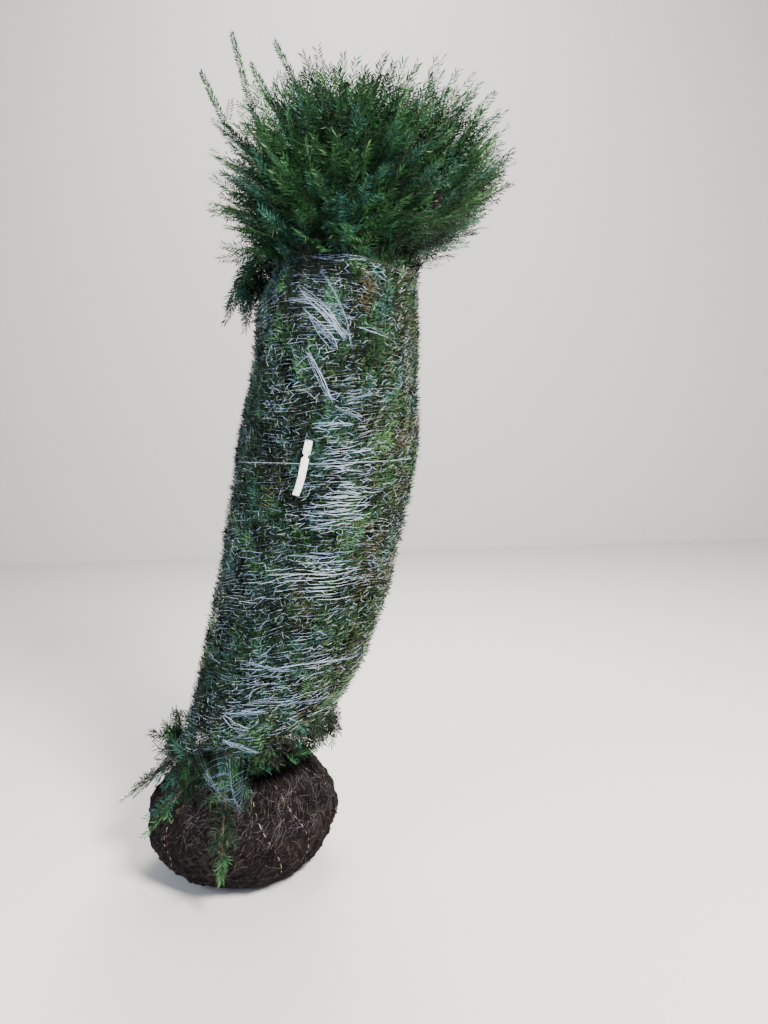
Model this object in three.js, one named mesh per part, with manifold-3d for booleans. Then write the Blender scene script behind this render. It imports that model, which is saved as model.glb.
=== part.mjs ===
// A netted yew with its root ball: a young conifer dug up for planting, its branches drawn up
// and wrapped in white stretch net, and its roots held in a ball of earth wrapped in jute.
// Millimetres, +Z up. The origin is the centre of the root ball's flat underside, -Y is the front.
import * as THREE from "three";
import { mergeVertices } from "three/addons/utils/BufferGeometryUtils.js";
import Module from "manifold-3d";

const wasm = await Module();
wasm.setup();

// Driving dimensions
const BALL_RADIUS = 288; // the root ball across its widest is twice this
const BALL_HALF_HEIGHT = 206;
const FOOT_RADIUS = 170; // the flat underside that it has settled on
const NET_BOTTOM = 425; // the netted column runs from here to the rim
const RIM_HEIGHT = 1812;
const COLUMN_FOOT_RADIUS = 228; // the wrapped column at its foot, at its belly and under the rim
const COLUMN_BELLY = 46;
const COLUMN_TOP_RADIUS = 222;
const SHOULDER_HEIGHT = 150; // over this height under the rim, the column rounds in on its left
const SHOULDER_IN = 0.2; // by this share of its radius
const LEAN_REACH = 319; // the column leans out this far in a bend, and then goes on by the slope
const LEAN_BEND = 510;
const LEAN_SLOPE = 0.05;
const TRUNK_FOOT_RADIUS = 23;
const TRUNK_TIP_HEIGHT = 1750;
const CLEAR = 0.3; // the gap between pieces that meet

// What follows from them
const BALL_CENTRE = BALL_HALF_HEIGHT * Math.sqrt(1 - (FOOT_RADIUS / BALL_RADIUS) ** 2);
const COLLAR_RADIUS = 60; // a small level place on the ball's top, where the trunk stands
const BALL_TOP =
  BALL_CENTRE + BALL_HALF_HEIGHT * Math.sqrt(1 - (COLLAR_RADIUS / BALL_RADIUS) ** 2);
const CHANNEL_RADIUS = 78; // the space along the trunk that the limbs rise in
const BOUGH_END = 30; // the straight stretch at a bough's end
const TURN = 2 * Math.PI;
const FRONT = new THREE.Vector3(0, -1, 0);
const degrees = (angle) => (angle * Math.PI) / 180;

// Where the leaning column's centre is at a height
function axisAt(z) {
  const rise = Math.max(0, z - BALL_TOP);
  return new THREE.Vector3(
    LEAN_REACH * (1 - Math.exp(-rise / LEAN_BEND)) + LEAN_SLOPE * rise,
    0,
    z,
  );
}

// The wrapped column's radius, with the lobes of the branch bundles under the net and a round
// shoulder at its top
function columnRadius(z, angle) {
  const share = THREE.MathUtils.clamp((z - NET_BOTTOM) / (RIM_HEIGHT - NET_BOTTOM), 0, 1);
  const plain =
    THREE.MathUtils.lerp(COLUMN_FOOT_RADIUS, COLUMN_TOP_RADIUS, share) +
    COLUMN_BELLY * Math.sin(Math.PI * share);
  const lobes =
    0.026 * Math.cos(3 * angle + z / 310) +
    0.017 * Math.cos(5 * angle - z / 170 + 1) +
    0.02 * Math.sin(z / 88 + 2 * angle);
  const under = THREE.MathUtils.clamp(1 + (z - RIM_HEIGHT) / SHOULDER_HEIGHT, 0, 1);
  const shoulder = SHOULDER_IN * under ** 2 * (0.5 - 0.5 * Math.cos(angle));
  return plain * (1 + lobes - shoulder);
}

// The point at a height, an angle and a distance from the column's centre
function around(z, angle, distance) {
  return axisAt(z).add(
    new THREE.Vector3(Math.cos(angle) * distance, Math.sin(angle) * distance, 0),
  );
}

// The root ball's plain radius at a height
function ballRadius(z) {
  const level = (z - BALL_CENTRE) / BALL_HALF_HEIGHT;
  return BALL_RADIUS * Math.sqrt(Math.max(0, 1 - level * level));
}

// A seeded row of numbers from 0 to 1
function numbers(seed) {
  let state = (seed * 7919 + 12345) >>> 0;
  return () => {
    state = (Math.imul(state, 1664525) + 1013904223) >>> 0;
    return state / 4294967296;
  };
}

// A closed geometry as a solid, and back
function solid(geometry) {
  const plain = new THREE.BufferGeometry().setAttribute(
    "position",
    geometry.getAttribute("position").clone(),
  );
  if (geometry.index) plain.setIndex(geometry.index.clone());
  const merged = mergeVertices(plain, 1e-3);
  return new wasm.Manifold(
    new wasm.Mesh({
      numProp: 3,
      vertProperties: new Float32Array(merged.attributes.position.array),
      triVerts: new Uint32Array(merged.index.array),
    }),
  );
}

function geometryOf(made) {
  const mesh = made.getMesh();
  const places = new Float32Array(mesh.numVert * 3);
  for (let i = 0; i < mesh.numVert; i++)
    places.set(mesh.vertProperties.subarray(i * mesh.numProp, i * mesh.numProp + 3), i * 3);
  const geometry = new THREE.BufferGeometry();
  geometry.setAttribute("position", new THREE.BufferAttribute(places, 3));
  geometry.setIndex(new THREE.BufferAttribute(new Uint32Array(mesh.triVerts), 1));
  geometry.computeVertexNormals();
  return geometry;
}

// Joins solids and keeps the largest body, so that no loose scrap is left
function joined(solids) {
  const whole = wasm.Manifold.union(solids);
  const bodies = whole.decompose();
  return bodies.reduce((best, body) => (body.volume() > best.volume() ? body : best));
}

// A round bar bent along points, with its radius by the share of the way
function bar(points, radiusAt, sides) {
  const steps = points.length - 1;
  const geometry = new THREE.CylinderGeometry(1, 1, 1, sides, steps);
  const frames = [];
  let side = new THREE.Vector3(0.31, 0.17, 0.93);
  for (let i = 0; i <= steps; i++) {
    const along = points[Math.min(steps, i + 1)].clone().sub(points[Math.max(0, i - 1)]);
    along.normalize();
    side = side.clone().addScaledVector(along, -side.dot(along)).normalize();
    frames.push({ side, across: along.clone().cross(side) });
  }
  const place = geometry.getAttribute("position");
  for (let v = 0; v < place.count; v++) {
    const t = place.getY(v) + 0.5;
    const i = Math.round(t * steps);
    const radius = radiusAt(t);
    const moved = points[i]
      .clone()
      .addScaledVector(frames[i].side, radius * place.getZ(v))
      .addScaledVector(frames[i].across, radius * place.getX(v));
    place.setXYZ(v, moved.x, moved.y, moved.z);
  }
  return geometry;
}

// The root ball: a flattened globe of earth, lumpy, with a flat foot and a level collar
function rootBall() {
  const geometry = new THREE.SphereGeometry(1, 28, 16);
  geometry.rotateX(Math.PI / 2);
  const place = geometry.getAttribute("position");
  const footLevel = -BALL_CENTRE / BALL_HALF_HEIGHT;
  const collarLevel = (BALL_TOP - BALL_CENTRE) / BALL_HALF_HEIGHT;
  for (let i = 0; i < place.count; i++) {
    const p = new THREE.Vector3().fromBufferAttribute(place, i);
    const angle = Math.atan2(p.y, p.x);
    const belt = Math.sqrt(Math.max(0, 1 - p.z * p.z));
    const lump =
      1 +
      belt *
        (0.016 * Math.cos(4 * angle + 5 * p.z) +
          0.012 * Math.sin(7 * angle - 6 * p.z) +
          0.01 * Math.cos(11 * angle + 9 * p.z));
    const level = THREE.MathUtils.clamp(p.z, footLevel, collarLevel);
    place.setXYZ(
      i,
      p.x * BALL_RADIUS * lump,
      p.y * BALL_RADIUS * lump,
      BALL_CENTRE + level * BALL_HALF_HEIGHT,
    );
  }
  return solid(geometry);
}

// The trunk: root flare, taper and lean, from a flat cut on the ball's collar to its tip
function trunkRadius(z) {
  const share = (z - BALL_TOP) / (TRUNK_TIP_HEIGHT - BALL_TOP);
  const flare = 15 * Math.exp(-Math.max(0, z - BALL_TOP) / 28);
  return TRUNK_FOOT_RADIUS * (1 - 0.68 * share) + flare;
}

function trunk(extra = 0) {
  const steps = 11;
  const foot = BALL_TOP + CLEAR - extra;
  const points = [axisAt(foot).setZ(foot - 50)];
  for (let i = 0; i <= steps; i++) {
    const share = (i / steps) ** 1.5; // closer together at the flare
    points.push(axisAt(THREE.MathUtils.lerp(foot, TRUNK_TIP_HEIGHT + extra, share)));
  }
  const radiusAt = (t) => trunkRadius(points[Math.round(t * (steps + 1))].z) + extra;
  // the flat cut at the foot
  const below = new THREE.BoxGeometry(400, 400, 200).translate(0, 0, foot - 100);
  return solid(bar(points, radiusAt, 10)).subtract(solid(below));
}

// A bough from inside the trunk to a mass's stem, cut clear of the trunk. Its last stretch is
// straight and in line with the stem, and it ends just before it.
function bough(bends, mass, footRadius, tipRadius) {
  const below = mass.start.clone().addScaledVector(mass.way, -BOUGH_END);
  const tip = mass.start.clone().addScaledVector(mass.way, -CLEAR);
  const points = new THREE.CatmullRomCurve3([...bends, below]).getPoints(4);
  points.push(tip);
  const shape = bar(points, (t) => THREE.MathUtils.lerp(footRadius, tipRadius, t), 5);
  return solid(shape).subtract(trunkCutter);
}

// A leafy shoot as a flat outline with a raised middle: a plain blade, or a frond with side shoots.
// Each outline goes up one side as a share of the length and of half the width.
const BLADE = [[0, 0.12], [0.45, 1]];
const FROND = [[0, 0.06], [0.36, 1], [0.5, 0.36], [0.72, 0.75]];

function shoot(outline, root, direction, facing, length, width) {
  const along = direction.clone().normalize();
  const across = along.clone().cross(facing).normalize();
  const out = across.clone().cross(along);
  const rim = [...outline, [1, 0], ...outline.map(([t, w]) => [t, -w]).reverse()];
  const thickness = Math.max(3, length / 32);
  // two low cones back to back, drawn out to the outline where they meet
  const geometry = new THREE.SphereGeometry(1, rim.length, 2);
  const place = geometry.getAttribute("position");
  for (let v = 0; v < place.count; v++) {
    const row = Math.floor(v / (rim.length + 1));
    const [t, w] = row === 1 ? rim[v % (rim.length + 1) % rim.length] : [0.46, 0];
    const moved = root
      .clone()
      .addScaledVector(along, t * length)
      .addScaledVector(across, (w * width) / 2)
      .addScaledVector(out, ((1 - row) * thickness) / 2);
    place.setXYZ(v, moved.x, moved.y, moved.z);
  }
  return geometry;
}

// Whether every corner of a geometry lies in a space
function within(geometry, space) {
  const place = geometry.getAttribute("position");
  for (let i = 0; i < place.count; i++)
    if (!space(new THREE.Vector3().fromBufferAttribute(place, i))) return false;
  return true;
}

// The largest of some sizes of a shoot that fits the space, as a solid, or none
function fitted(sizes, space, make) {
  for (const size of sizes) {
    const made = make(size);
    if (within(made, space)) return [solid(made)];
  }
  return [];
}

// A copy of a geometry, scaled about its middle
function scaledAbout(geometry, size) {
  geometry.computeBoundingSphere();
  const middle = geometry.boundingSphere.center;
  return geometry
    .clone()
    .translate(-middle.x, -middle.y, -middle.z)
    .scale(size, size, size)
    .translate(middle.x, middle.y, middle.z);
}

// How far round a point is from an angle, as seen from a centre
function turnFrom(p, centre, angle) {
  const offset = Math.atan2(p.y - centre.y, p.x - centre.x) - angle;
  return Math.atan2(Math.sin(offset), Math.cos(offset));
}

// The point a share of the way along a line of points
function pointOn(points, t) {
  const at = THREE.MathUtils.clamp(t * (points.length - 1), 0, points.length - 1.001);
  const k = Math.floor(at);
  return points[k].clone().lerp(points[k + 1], at - k);
}

// One mass of the wrapped column: a rounded block between the limbs' channel and the net, with
// blades that the net has pressed upwards standing out of it
const LEVELS = 3;
const SECTORS = 3;
const MASS_GAP = 7;
const NEEDLE_DEPTH = 18; // how far the blades stand out of the block
const BLOCK_ROUNDING = 20;
const NET_CLEARANCE = 9;
const BLOCK_INSIDE = 112; // the blocks' inner face, round the limbs
const BLADE_ROWS = 5;
const BLADE_COLUMNS = 3;

function columnMassPlace(level, sector) {
  const height = (RIM_HEIGHT + 8 - NET_BOTTOM) / LEVELS;
  const middle = NET_BOTTOM + height * (level + 0.5);
  const angle = degrees(-90 + (360 / SECTORS) * sector + 60 * level);
  return { middle, angle, halfHeight: height / 2, halfTurn: Math.PI / SECTORS };
}

function columnMass(level, sector) {
  const { middle, angle, halfHeight, halfTurn } = columnMassPlace(level, sector);
  const random = numbers(100 + level * 10 + sector);
  const outer = (z, a) => columnRadius(z, a) - NET_CLEARANCE;
  const space = (p) => {
    const centre = axisAt(p.z);
    const distance = Math.hypot(p.x - centre.x, p.y);
    const a = Math.atan2(p.y, p.x - centre.x);
    return (
      Math.abs(p.z - middle) < halfHeight - MASS_GAP / 2 &&
      distance < outer(p.z, a) &&
      distance > CHANNEL_RADIUS &&
      Math.abs(turnFrom(p, centre, angle)) < halfTurn - MASS_GAP / 2 / distance
    );
  };
  const block = new THREE.BoxGeometry(2, 2, 2, 5, 1, 4);
  const place = block.getAttribute("position");
  for (let i = 0; i < place.count; i++) {
    const p = new THREE.Vector3().fromBufferAttribute(place, i);
    const z = middle + p.z * (halfHeight - MASS_GAP / 2);
    const plain = angle - p.x * halfTurn;
    const drop = BLOCK_ROUNDING * (0.55 * p.x ** 4 + 0.45 * p.z ** 4);
    const distance = p.y > 0 ? outer(z, plain) - NEEDLE_DEPTH - drop : BLOCK_INSIDE;
    const a = plain + (Math.sign(p.x) * MASS_GAP) / 2 / distance;
    place.setXYZ(i, ...around(z, a, distance).toArray());
  }
  const start = around(middle, angle, CHANNEL_RADIUS - 6);
  const way = new THREE.Vector3(Math.cos(angle), Math.sin(angle), 0.9).normalize();
  const stemEnd = start.clone().addScaledVector(way, 75);
  const parts = [solid(block), solid(bar([start, stemEnd], () => 6, 5))];
  for (let row = 0; row < BLADE_ROWS; row++)
    for (let column = 0; column < BLADE_COLUMNS; column++) {
      const rise = (row + 0.1 + 0.3 * random()) / BLADE_ROWS - 0.5;
      const z = middle + rise * 2 * (halfHeight - 16);
      const stagger = row % 2 ? 0.22 : -0.22;
      const round = (column + 0.5 + stagger + 0.2 * (random() - 0.5)) / BLADE_COLUMNS - 0.5;
      const a = angle + round * 2 * (halfTurn - 0.14);
      const out = new THREE.Vector3(Math.cos(a), Math.sin(a), 0);
      const sideways = new THREE.Vector3(-out.y, out.x, 0);
      const root = around(z, a, outer(z, a) - NEEDLE_DEPTH - 14);
      const direction = new THREE.Vector3(0.12, 0, 1)
        .addScaledVector(out, 0.34)
        .addScaledVector(sideways, 0.8 * (random() - 0.5));
      const length = 110 + 30 * random();
      parts.push(
        ...fitted([1, 0.8, 0.6], space, (size) =>
          shoot(BLADE, root, direction, out, length * size, 40),
        ),
      );
    }
  return { parts, start, way };
}

// One mass of the free crown: a dense heart over the rim, with shoots that fan out of it
const CROWN_START = RIM_HEIGHT + 26;
const HEART_BOTTOM = CROWN_START + 8;
const HEART_TOP = 2150;
const RING_MASSES = 6;
const INNER_MASSES = 3;
// Each mass with its side of the crown in degrees, how far it reaches out, and how far its lowest
// and its highest shoots lean out from upright. The inner ones stand in thirds inside the ring of
// the outer ones.
const CROWN_MASSES = [
  { name: "crown_right", angle: 0, reach: 1.48, leans: [1.15, 0.45] },
  { name: "crown_back_right", angle: 60, reach: 1.1, leans: [1.45, 0.45] },
  { name: "crown_back_left", angle: 120, reach: 0.98, leans: [1.6, 0.45] },
  { name: "crown_left", angle: 180, reach: 0.9, leans: [1.7, 0.55] },
  { name: "crown_front_left", angle: 240, reach: 0.92, leans: [1.5, 0.4] },
  { name: "crown_front_right", angle: 300, reach: 1.06, leans: [1.3, 0.48] },
  { name: "crown_inner_back", angle: 90, inner: true },
  { name: "crown_inner_left", angle: 210, inner: true },
  { name: "crown_inner_right", angle: 330, inner: true },
];
// Single shoots that stand or hang clear of their mass: the points that each runs through
const LONG_SHOOTS = [
  { mass: "crown_left", through: [[200, -20, 2080], [70, -35, 2215], [13, -40, 2350]] },
  { mass: "crown_left", through: [[220, 10, 2100], [140, 5, 2270], [98, 0, 2466]] },
  { mass: "crown_front_left", through: [[300, -120, 2090], [215, -120, 2230], [165, -125, 2330]] },
  { mass: "crown_inner_left", through: [[340, -30, 2120], [285, -50, 2290], [224, -60, 2414]] },
  { mass: "crown_right", through: [[620, -20, 2050], [720, -20, 2120], [793, -20, 2243]] },
];
// The clump that hangs outside the rim on the left: its stalk, its middle and its half-sizes
const HANGING = {
  mass: "crown_left",
  stalk: [[240, 40, 1895], [140, 45, 1882], [104, 48, 1820]],
  middle: [98, 48, 1772],
  halves: [42, 80, 96],
  shoots: 4,
};

function innerCrownRadius(z) {
  return 62 + 0.16 * Math.max(0, z - CROWN_START);
}

// The outside of a heart at a height
function heartRadius(z, mass) {
  if (mass.inner) return innerCrownRadius(z) - MASS_GAP / 2;
  const share = (z - HEART_BOTTOM) / (HEART_TOP - HEART_BOTTOM);
  return mass.reach * (168 + 92 * Math.sin(Math.PI * share ** 0.85) - 14 * share);
}

function hangingClump(space, random) {
  const middle = new THREE.Vector3(...HANGING.middle);
  const stalk = HANGING.stalk.map((at) => new THREE.Vector3(...at));
  const lump = new THREE.IcosahedronGeometry(1, 1).scale(...HANGING.halves);
  lump.translate(...HANGING.middle);
  const parts = [solid(bar(stalk, () => 5, 4))];
  parts.push(...fitted([1, 0.9, 0.8, 0.7], space, (size) => scaledAbout(lump, size)));
  for (let i = 0; i < HANGING.shoots; i++) {
    const across = 2 * ((i + 0.5) / HANGING.shoots) - 1;
    const root = middle.clone().add(new THREE.Vector3(-8, 52 * across, -20 - 40 * random()));
    const direction = new THREE.Vector3(-0.25, 0.4 * across, -1);
    parts.push(
      ...fitted([1, 0.8, 0.6], space, (size) =>
        shoot(FROND, root, direction, FRONT, 110 * size, 70 * size),
      ),
    );
  }
  return parts;
}

function crownMass(mass, index) {
  const angle = degrees(mass.angle);
  const random = numbers(200 + index);
  const halfTurn = Math.PI / (mass.inner ? INNER_MASSES : RING_MASSES);
  const space = (p) => {
    const centre = axisAt(Math.max(p.z, CROWN_START));
    const distance = Math.hypot(p.x - centre.x, p.y);
    const turn = Math.abs(turnFrom(p, centre, angle));
    if (turn > halfTurn || distance * Math.sin(halfTurn - turn) < MASS_GAP / 2 - 0.1) return false;
    const inner = innerCrownRadius(p.z);
    if (mass.inner) return p.z > CROWN_START && (distance < inner || p.z > HEART_TOP + 4);
    const rim = columnRadius(Math.min(p.z, RIM_HEIGHT), Math.atan2(p.y, p.x - centre.x)) + 22;
    return (
      (p.z > CROWN_START || distance > rim) &&
      (p.z < HEART_TOP + 4 || distance > innerCrownRadius(HEART_TOP)) &&
      distance > inner
    );
  };
  const outward = new THREE.Vector3(Math.cos(angle), Math.sin(angle), 0);
  const start = around(CROWN_START, angle, mass.inner ? 30 : 66);
  const way = new THREE.Vector3(LEAN_SLOPE, 0, 1).addScaledVector(outward, mass.inner ? 0 : 0.7);
  way.normalize();
  const stem = [start, start.clone().addScaledVector(way, mass.inner ? 60 : 100)];
  const heart = new THREE.BoxGeometry(2, 2, 2, mass.inner ? 2 : 3, 1, mass.inner ? 2 : 4);
  const place = heart.getAttribute("position");
  for (let i = 0; i < place.count; i++) {
    const p = new THREE.Vector3().fromBufferAttribute(place, i);
    const round = mass.inner ? 0 : 26 * p.x ** 2 * (p.y + 1);
    const z = THREE.MathUtils.lerp(HEART_BOTTOM, HEART_TOP, (p.z + 1) / 2) - (p.z > 0 ? round : 0);
    const near = mass.inner ? 9 : innerCrownRadius(z) + MASS_GAP / 2;
    const distance = p.y > 0 ? heartRadius(z, mass) - NEEDLE_DEPTH : near;
    const a = angle - p.x * (halfTurn - Math.asin(Math.min(0.9, MASS_GAP / 2 / distance)));
    place.setXYZ(i, ...around(z, a, distance).toArray());
  }
  const parts = [solid(heart), solid(bar(stem, () => 7, 5))];
  const rows = mass.inner ? 1 : 4;
  const columns = mass.inner ? 4 : 3;
  for (let row = 0; row < rows; row++)
    for (let column = 0; column < columns; column++) {
      const rise = mass.inner ? 1 : (row + 0.25 + 0.5 * random()) / rows;
      const z = THREE.MathUtils.lerp(HEART_BOTTOM, HEART_TOP, rise) - 12;
      const stagger = row % 2 ? 0.15 : -0.15;
      const a = angle + ((column + 0.5 + stagger) / columns - 0.5) * 1.7 * halfTurn;
      const out = new THREE.Vector3(Math.cos(a), Math.sin(a), 0);
      const sideways = new THREE.Vector3(-out.y, out.x, 0);
      const depth = mass.inner ? heartRadius(z, mass) * 0.6 * random() + 20 : 34;
      const root = around(z, a, heartRadius(z, mass) - depth);
      const tilt = mass.inner ? 0.15 : THREE.MathUtils.lerp(...mass.leans, rise ** 0.8);
      const direction = new THREE.Vector3(LEAN_SLOPE, 0, Math.cos(tilt))
        .addScaledVector(out, Math.sin(tilt))
        .addScaledVector(sideways, 0.5 * (random() - 0.5));
      // some shoots are turned edge on, so that the crown looks full from all sides
      const facing = (row + column) % 2 ? sideways : out.clone().setZ(-0.5);
      facing.addScaledVector(sideways, 0.6 * (random() - 0.5));
      const length = 165 + 50 * random();
      parts.push(
        ...fitted([1, 0.85, 0.7, 0.55, 0.4], space, (size) =>
          shoot(FROND, root, direction, facing, length * size, length * size * 0.66),
        ),
      );
    }
  for (const { through } of LONG_SHOOTS.filter((one) => one.mass === mass.name)) {
    const [root, bend, tip] = through.map((at) => new THREE.Vector3(...at));
    parts.push(solid(bar([root, bend], () => 3.6, 3)));
    const heading = tip.clone().sub(bend);
    const length = heading.length() + 12;
    const foot = bend.clone().addScaledVector(heading.clone().normalize(), -12);
    parts.push(solid(shoot(FROND, foot, heading, FRONT, length, length * 0.45)));
  }
  if (mass.name === HANGING.mass) parts.push(...hangingClump(space, random));
  return { parts, start, way };
}

// One mass of the skirt: low branches left out of the net, draped over the root ball
const SKIRT_START_RADIUS = 168;
const SKIRT_START_HEIGHT = 388;
const SKIRT_CEILING = NET_BOTTOM - 6;
const SKIRT_STEPS = 5;
const BALL_GAP = 5; // the least distance from the ball
// The angle of each in degrees and how far it spreads each way, how high it rises at first, how
// low its tip hangs, how far it keeps off the ball, and how many shoots of what length it carries
const SKIRTS = [
  ["skirt_left", 183, 24, 40, 225, 1.07, 8, 142],
  ["skirt_front_left", 231, 22, 30, 240, 1.03, 8, 130],
  ["skirt_front", 269, 15, 0, 140, 1, 8, 95],
  ["skirt_front_right", 318, 30, 0, 350, 1, 6, 100],
  ["skirt_right", 20, 28, 0, 330, 1, 6, 100],
  ["skirt_back_right", 73, 22, 0, 270, 1, 6, 110],
  ["skirt_back_left", 125, 26, 20, 250, 1.03, 7, 130],
].map(([name, angle, spread, rise, low, off, shoots, length]) => ({
  name, angle, spread, rise, low, off, shoots, length,
}));

// The line that a skirt follows over the ball's shoulder and down its side
function skirtLine(skirt) {
  const angle = degrees(skirt.angle);
  const outward = new THREE.Vector3(Math.cos(angle), Math.sin(angle), 0);
  const points = [];
  for (let i = 0; i <= SKIRT_STEPS; i++) {
    const t = i / SKIRT_STEPS;
    const fall = THREE.MathUtils.lerp(SKIRT_START_HEIGHT, skirt.low + 50, t ** 1.7);
    const z = fall + skirt.rise * Math.sin(Math.PI * Math.min(1, 1.6 * t));
    const clear = (ballRadius(Math.max(z, BALL_CENTRE)) + 26) * (i ? skirt.off : 1);
    const distance = Math.max(SKIRT_START_RADIUS + 62 * t, i ? clear : 0);
    points.push(outward.clone().multiplyScalar(distance).setZ(z));
  }
  return points;
}

function skirtMass(skirt, index) {
  const angle = degrees(skirt.angle);
  const random = numbers(300 + index);
  const outward = new THREE.Vector3(Math.cos(angle), Math.sin(angle), 0);
  const side = new THREE.Vector3(-outward.y, outward.x, 0);
  const middle = new THREE.Vector3(0, 0, 0);
  const space = (p) => {
    const distance = Math.hypot(p.x, p.y);
    const level = (p.z - BALL_CENTRE) / (BALL_HALF_HEIGHT + BALL_GAP);
    const clearOfBall = level ** 2 + (distance / (BALL_RADIUS * 1.03 + BALL_GAP)) ** 2 > 1;
    const centre = axisAt(p.z);
    const round = Math.atan2(p.y, p.x - centre.x);
    const fromAxis = Math.hypot(p.x - centre.x, p.y);
    const clearOfNet = p.z < SKIRT_CEILING || fromAxis > columnRadius(p.z, round) + 14;
    return (
      clearOfBall &&
      clearOfNet &&
      p.z > 40 &&
      p.z < NET_BOTTOM + 90 &&
      distance > SKIRT_START_RADIUS - 8 &&
      Math.abs(turnFrom(p, middle, angle)) < degrees(skirt.spread) - 0.012
    );
  };
  const points = skirtLine(skirt);
  const parts = [solid(bar(points, (t) => THREE.MathUtils.lerp(6, 3, t), 4))];
  // the crowded needles along it, as a thick drape that narrows downwards
  const drape = new THREE.BoxGeometry(2, 2, 2, 2, 1, 3);
  const place = drape.getAttribute("position");
  for (let i = 0; i < place.count; i++) {
    const t = THREE.MathUtils.lerp(0.8, 0.24, (place.getZ(i) + 1) / 2);
    const at = pointOn(points, t);
    const turn = -place.getX(i) * degrees(skirt.spread - 3) * (1 - 0.55 * t);
    const lift = place.getY(i) > 0 ? 16 - 8 * place.getX(i) ** 2 : -8;
    const distance = Math.hypot(at.x, at.y) + lift;
    const z = at.z + lift * 0.5;
    place.setXYZ(i, Math.cos(angle + turn) * distance, Math.sin(angle + turn) * distance, z);
  }
  parts.push(...fitted([1], space, () => drape));
  for (let i = 0; i < skirt.shoots; i++) {
    const t = (i + 0.5) / skirt.shoots;
    const root = pointOn(points, t);
    const heading = pointOn(points, t + 0.1).sub(pointOn(points, t - 0.1)).normalize();
    const hand = i % 2 ? 1 : -1;
    const last = i === skirt.shoots - 1;
    const direction = heading
      .clone()
      .addScaledVector(side, last ? 0 : hand * (0.7 + 0.5 * random()) * (1.3 - t))
      .addScaledVector(outward, 0.12 * random());
    const facing = outward.clone().setZ(0.6);
    parts.push(
      ...fitted([1, 0.85, 0.7, 0.55, 0.4, 0.3], space, (size) =>
        shoot(FROND, root, direction, facing, skirt.length * size, skirt.length * size * 0.75),
      ),
    );
  }
  return { parts, start: points[0], way: points[1].clone().sub(points[0]).normalize() };
}

// The net: rounds of thread on the column with zigzag threads between them, a rolled rim, and
// the bunched strands on its front
const NET_ROUNDS = 10;
const NET_SEGMENTS = 17;
const NET_THREAD = 3.2;
const RIM_THREAD = 6;
const ZIGZAGS = 3;
const DRAWN_UP_SIDE = degrees(-42);
// Bunched strands on the front, each from one height and angle to another
const STRANDS = [
  { from: [1807, -104], to: [1559, -76] },
  { from: [1704, -119], to: [1588, -79] },
  { from: [1569, -103], to: [1423, -85] },
  { from: [698, -98], to: [700, -33] },
];

function onNet(z, angle, lift) {
  return around(z, angle, columnRadius(z, angle) + lift);
}

// A round's height at an angle. The lowest is drawn up at the front's right, where the foliage
// bulges out under it, and the rim is high in front and low behind.
function roundHeight(k, angle) {
  if (k === NET_ROUNDS - 1) return RIM_HEIGHT - 18 + 13 * Math.cos(angle) - 28 * Math.sin(angle);
  const drawnUp = 75 * Math.max(0, Math.cos(angle - DRAWN_UP_SIDE)) ** 2;
  if (!k) return NET_BOTTOM + 10 + drawnUp + 8 * Math.sin(3 * angle);
  const z = THREE.MathUtils.lerp(NET_BOTTOM + 16, RIM_HEIGHT - 20, k / (NET_ROUNDS - 1));
  return z + 10 * Math.sin(2 * angle + k * 1.7);
}

// A round of thread: a thin ring laid along the round's line
function netRound(k) {
  const rim = k === NET_ROUNDS - 1;
  const thread = rim ? RIM_THREAD : NET_THREAD;
  const geometry = new THREE.TorusGeometry(10, 1, rim ? 4 : 3, NET_SEGMENTS);
  const place = geometry.getAttribute("position");
  for (let v = 0; v < place.count; v++) {
    const angle = Math.atan2(place.getY(v), place.getX(v));
    const outwards = Math.hypot(place.getX(v), place.getY(v)) - 10;
    const moved = onNet(roundHeight(k, angle), angle, 3 + thread * outwards);
    place.setXYZ(v, moved.x, moved.y, moved.z + thread * place.getZ(v));
  }
  return geometry;
}

function net() {
  const threads = [];
  for (let k = 0; k < NET_ROUNDS; k++) threads.push(netRound(k));
  for (let k = 0; k < ZIGZAGS; k++) {
    const points = [];
    for (let i = 0; i < NET_ROUNDS; i++) {
      const angle = (TURN * k) / ZIGZAGS + degrees(i % 2 ? 76 : 48) + 0.06 * i;
      points.push(onNet(roundHeight(i, angle), angle, 3));
    }
    threads.push(bar(points, () => NET_THREAD, 3));
  }
  for (const { from, to } of STRANDS) {
    const points = [0, 0.25, 0.5, 0.75, 1].map((t) => {
      const angle = degrees(THREE.MathUtils.lerp(from[1], to[1], t));
      return onNet(THREE.MathUtils.lerp(from[0], to[0], t), angle, 4.5);
    });
    threads.push(bar(points, () => 4.2, 3));
  }
  return joined(threads.map(solid));
}

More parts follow.
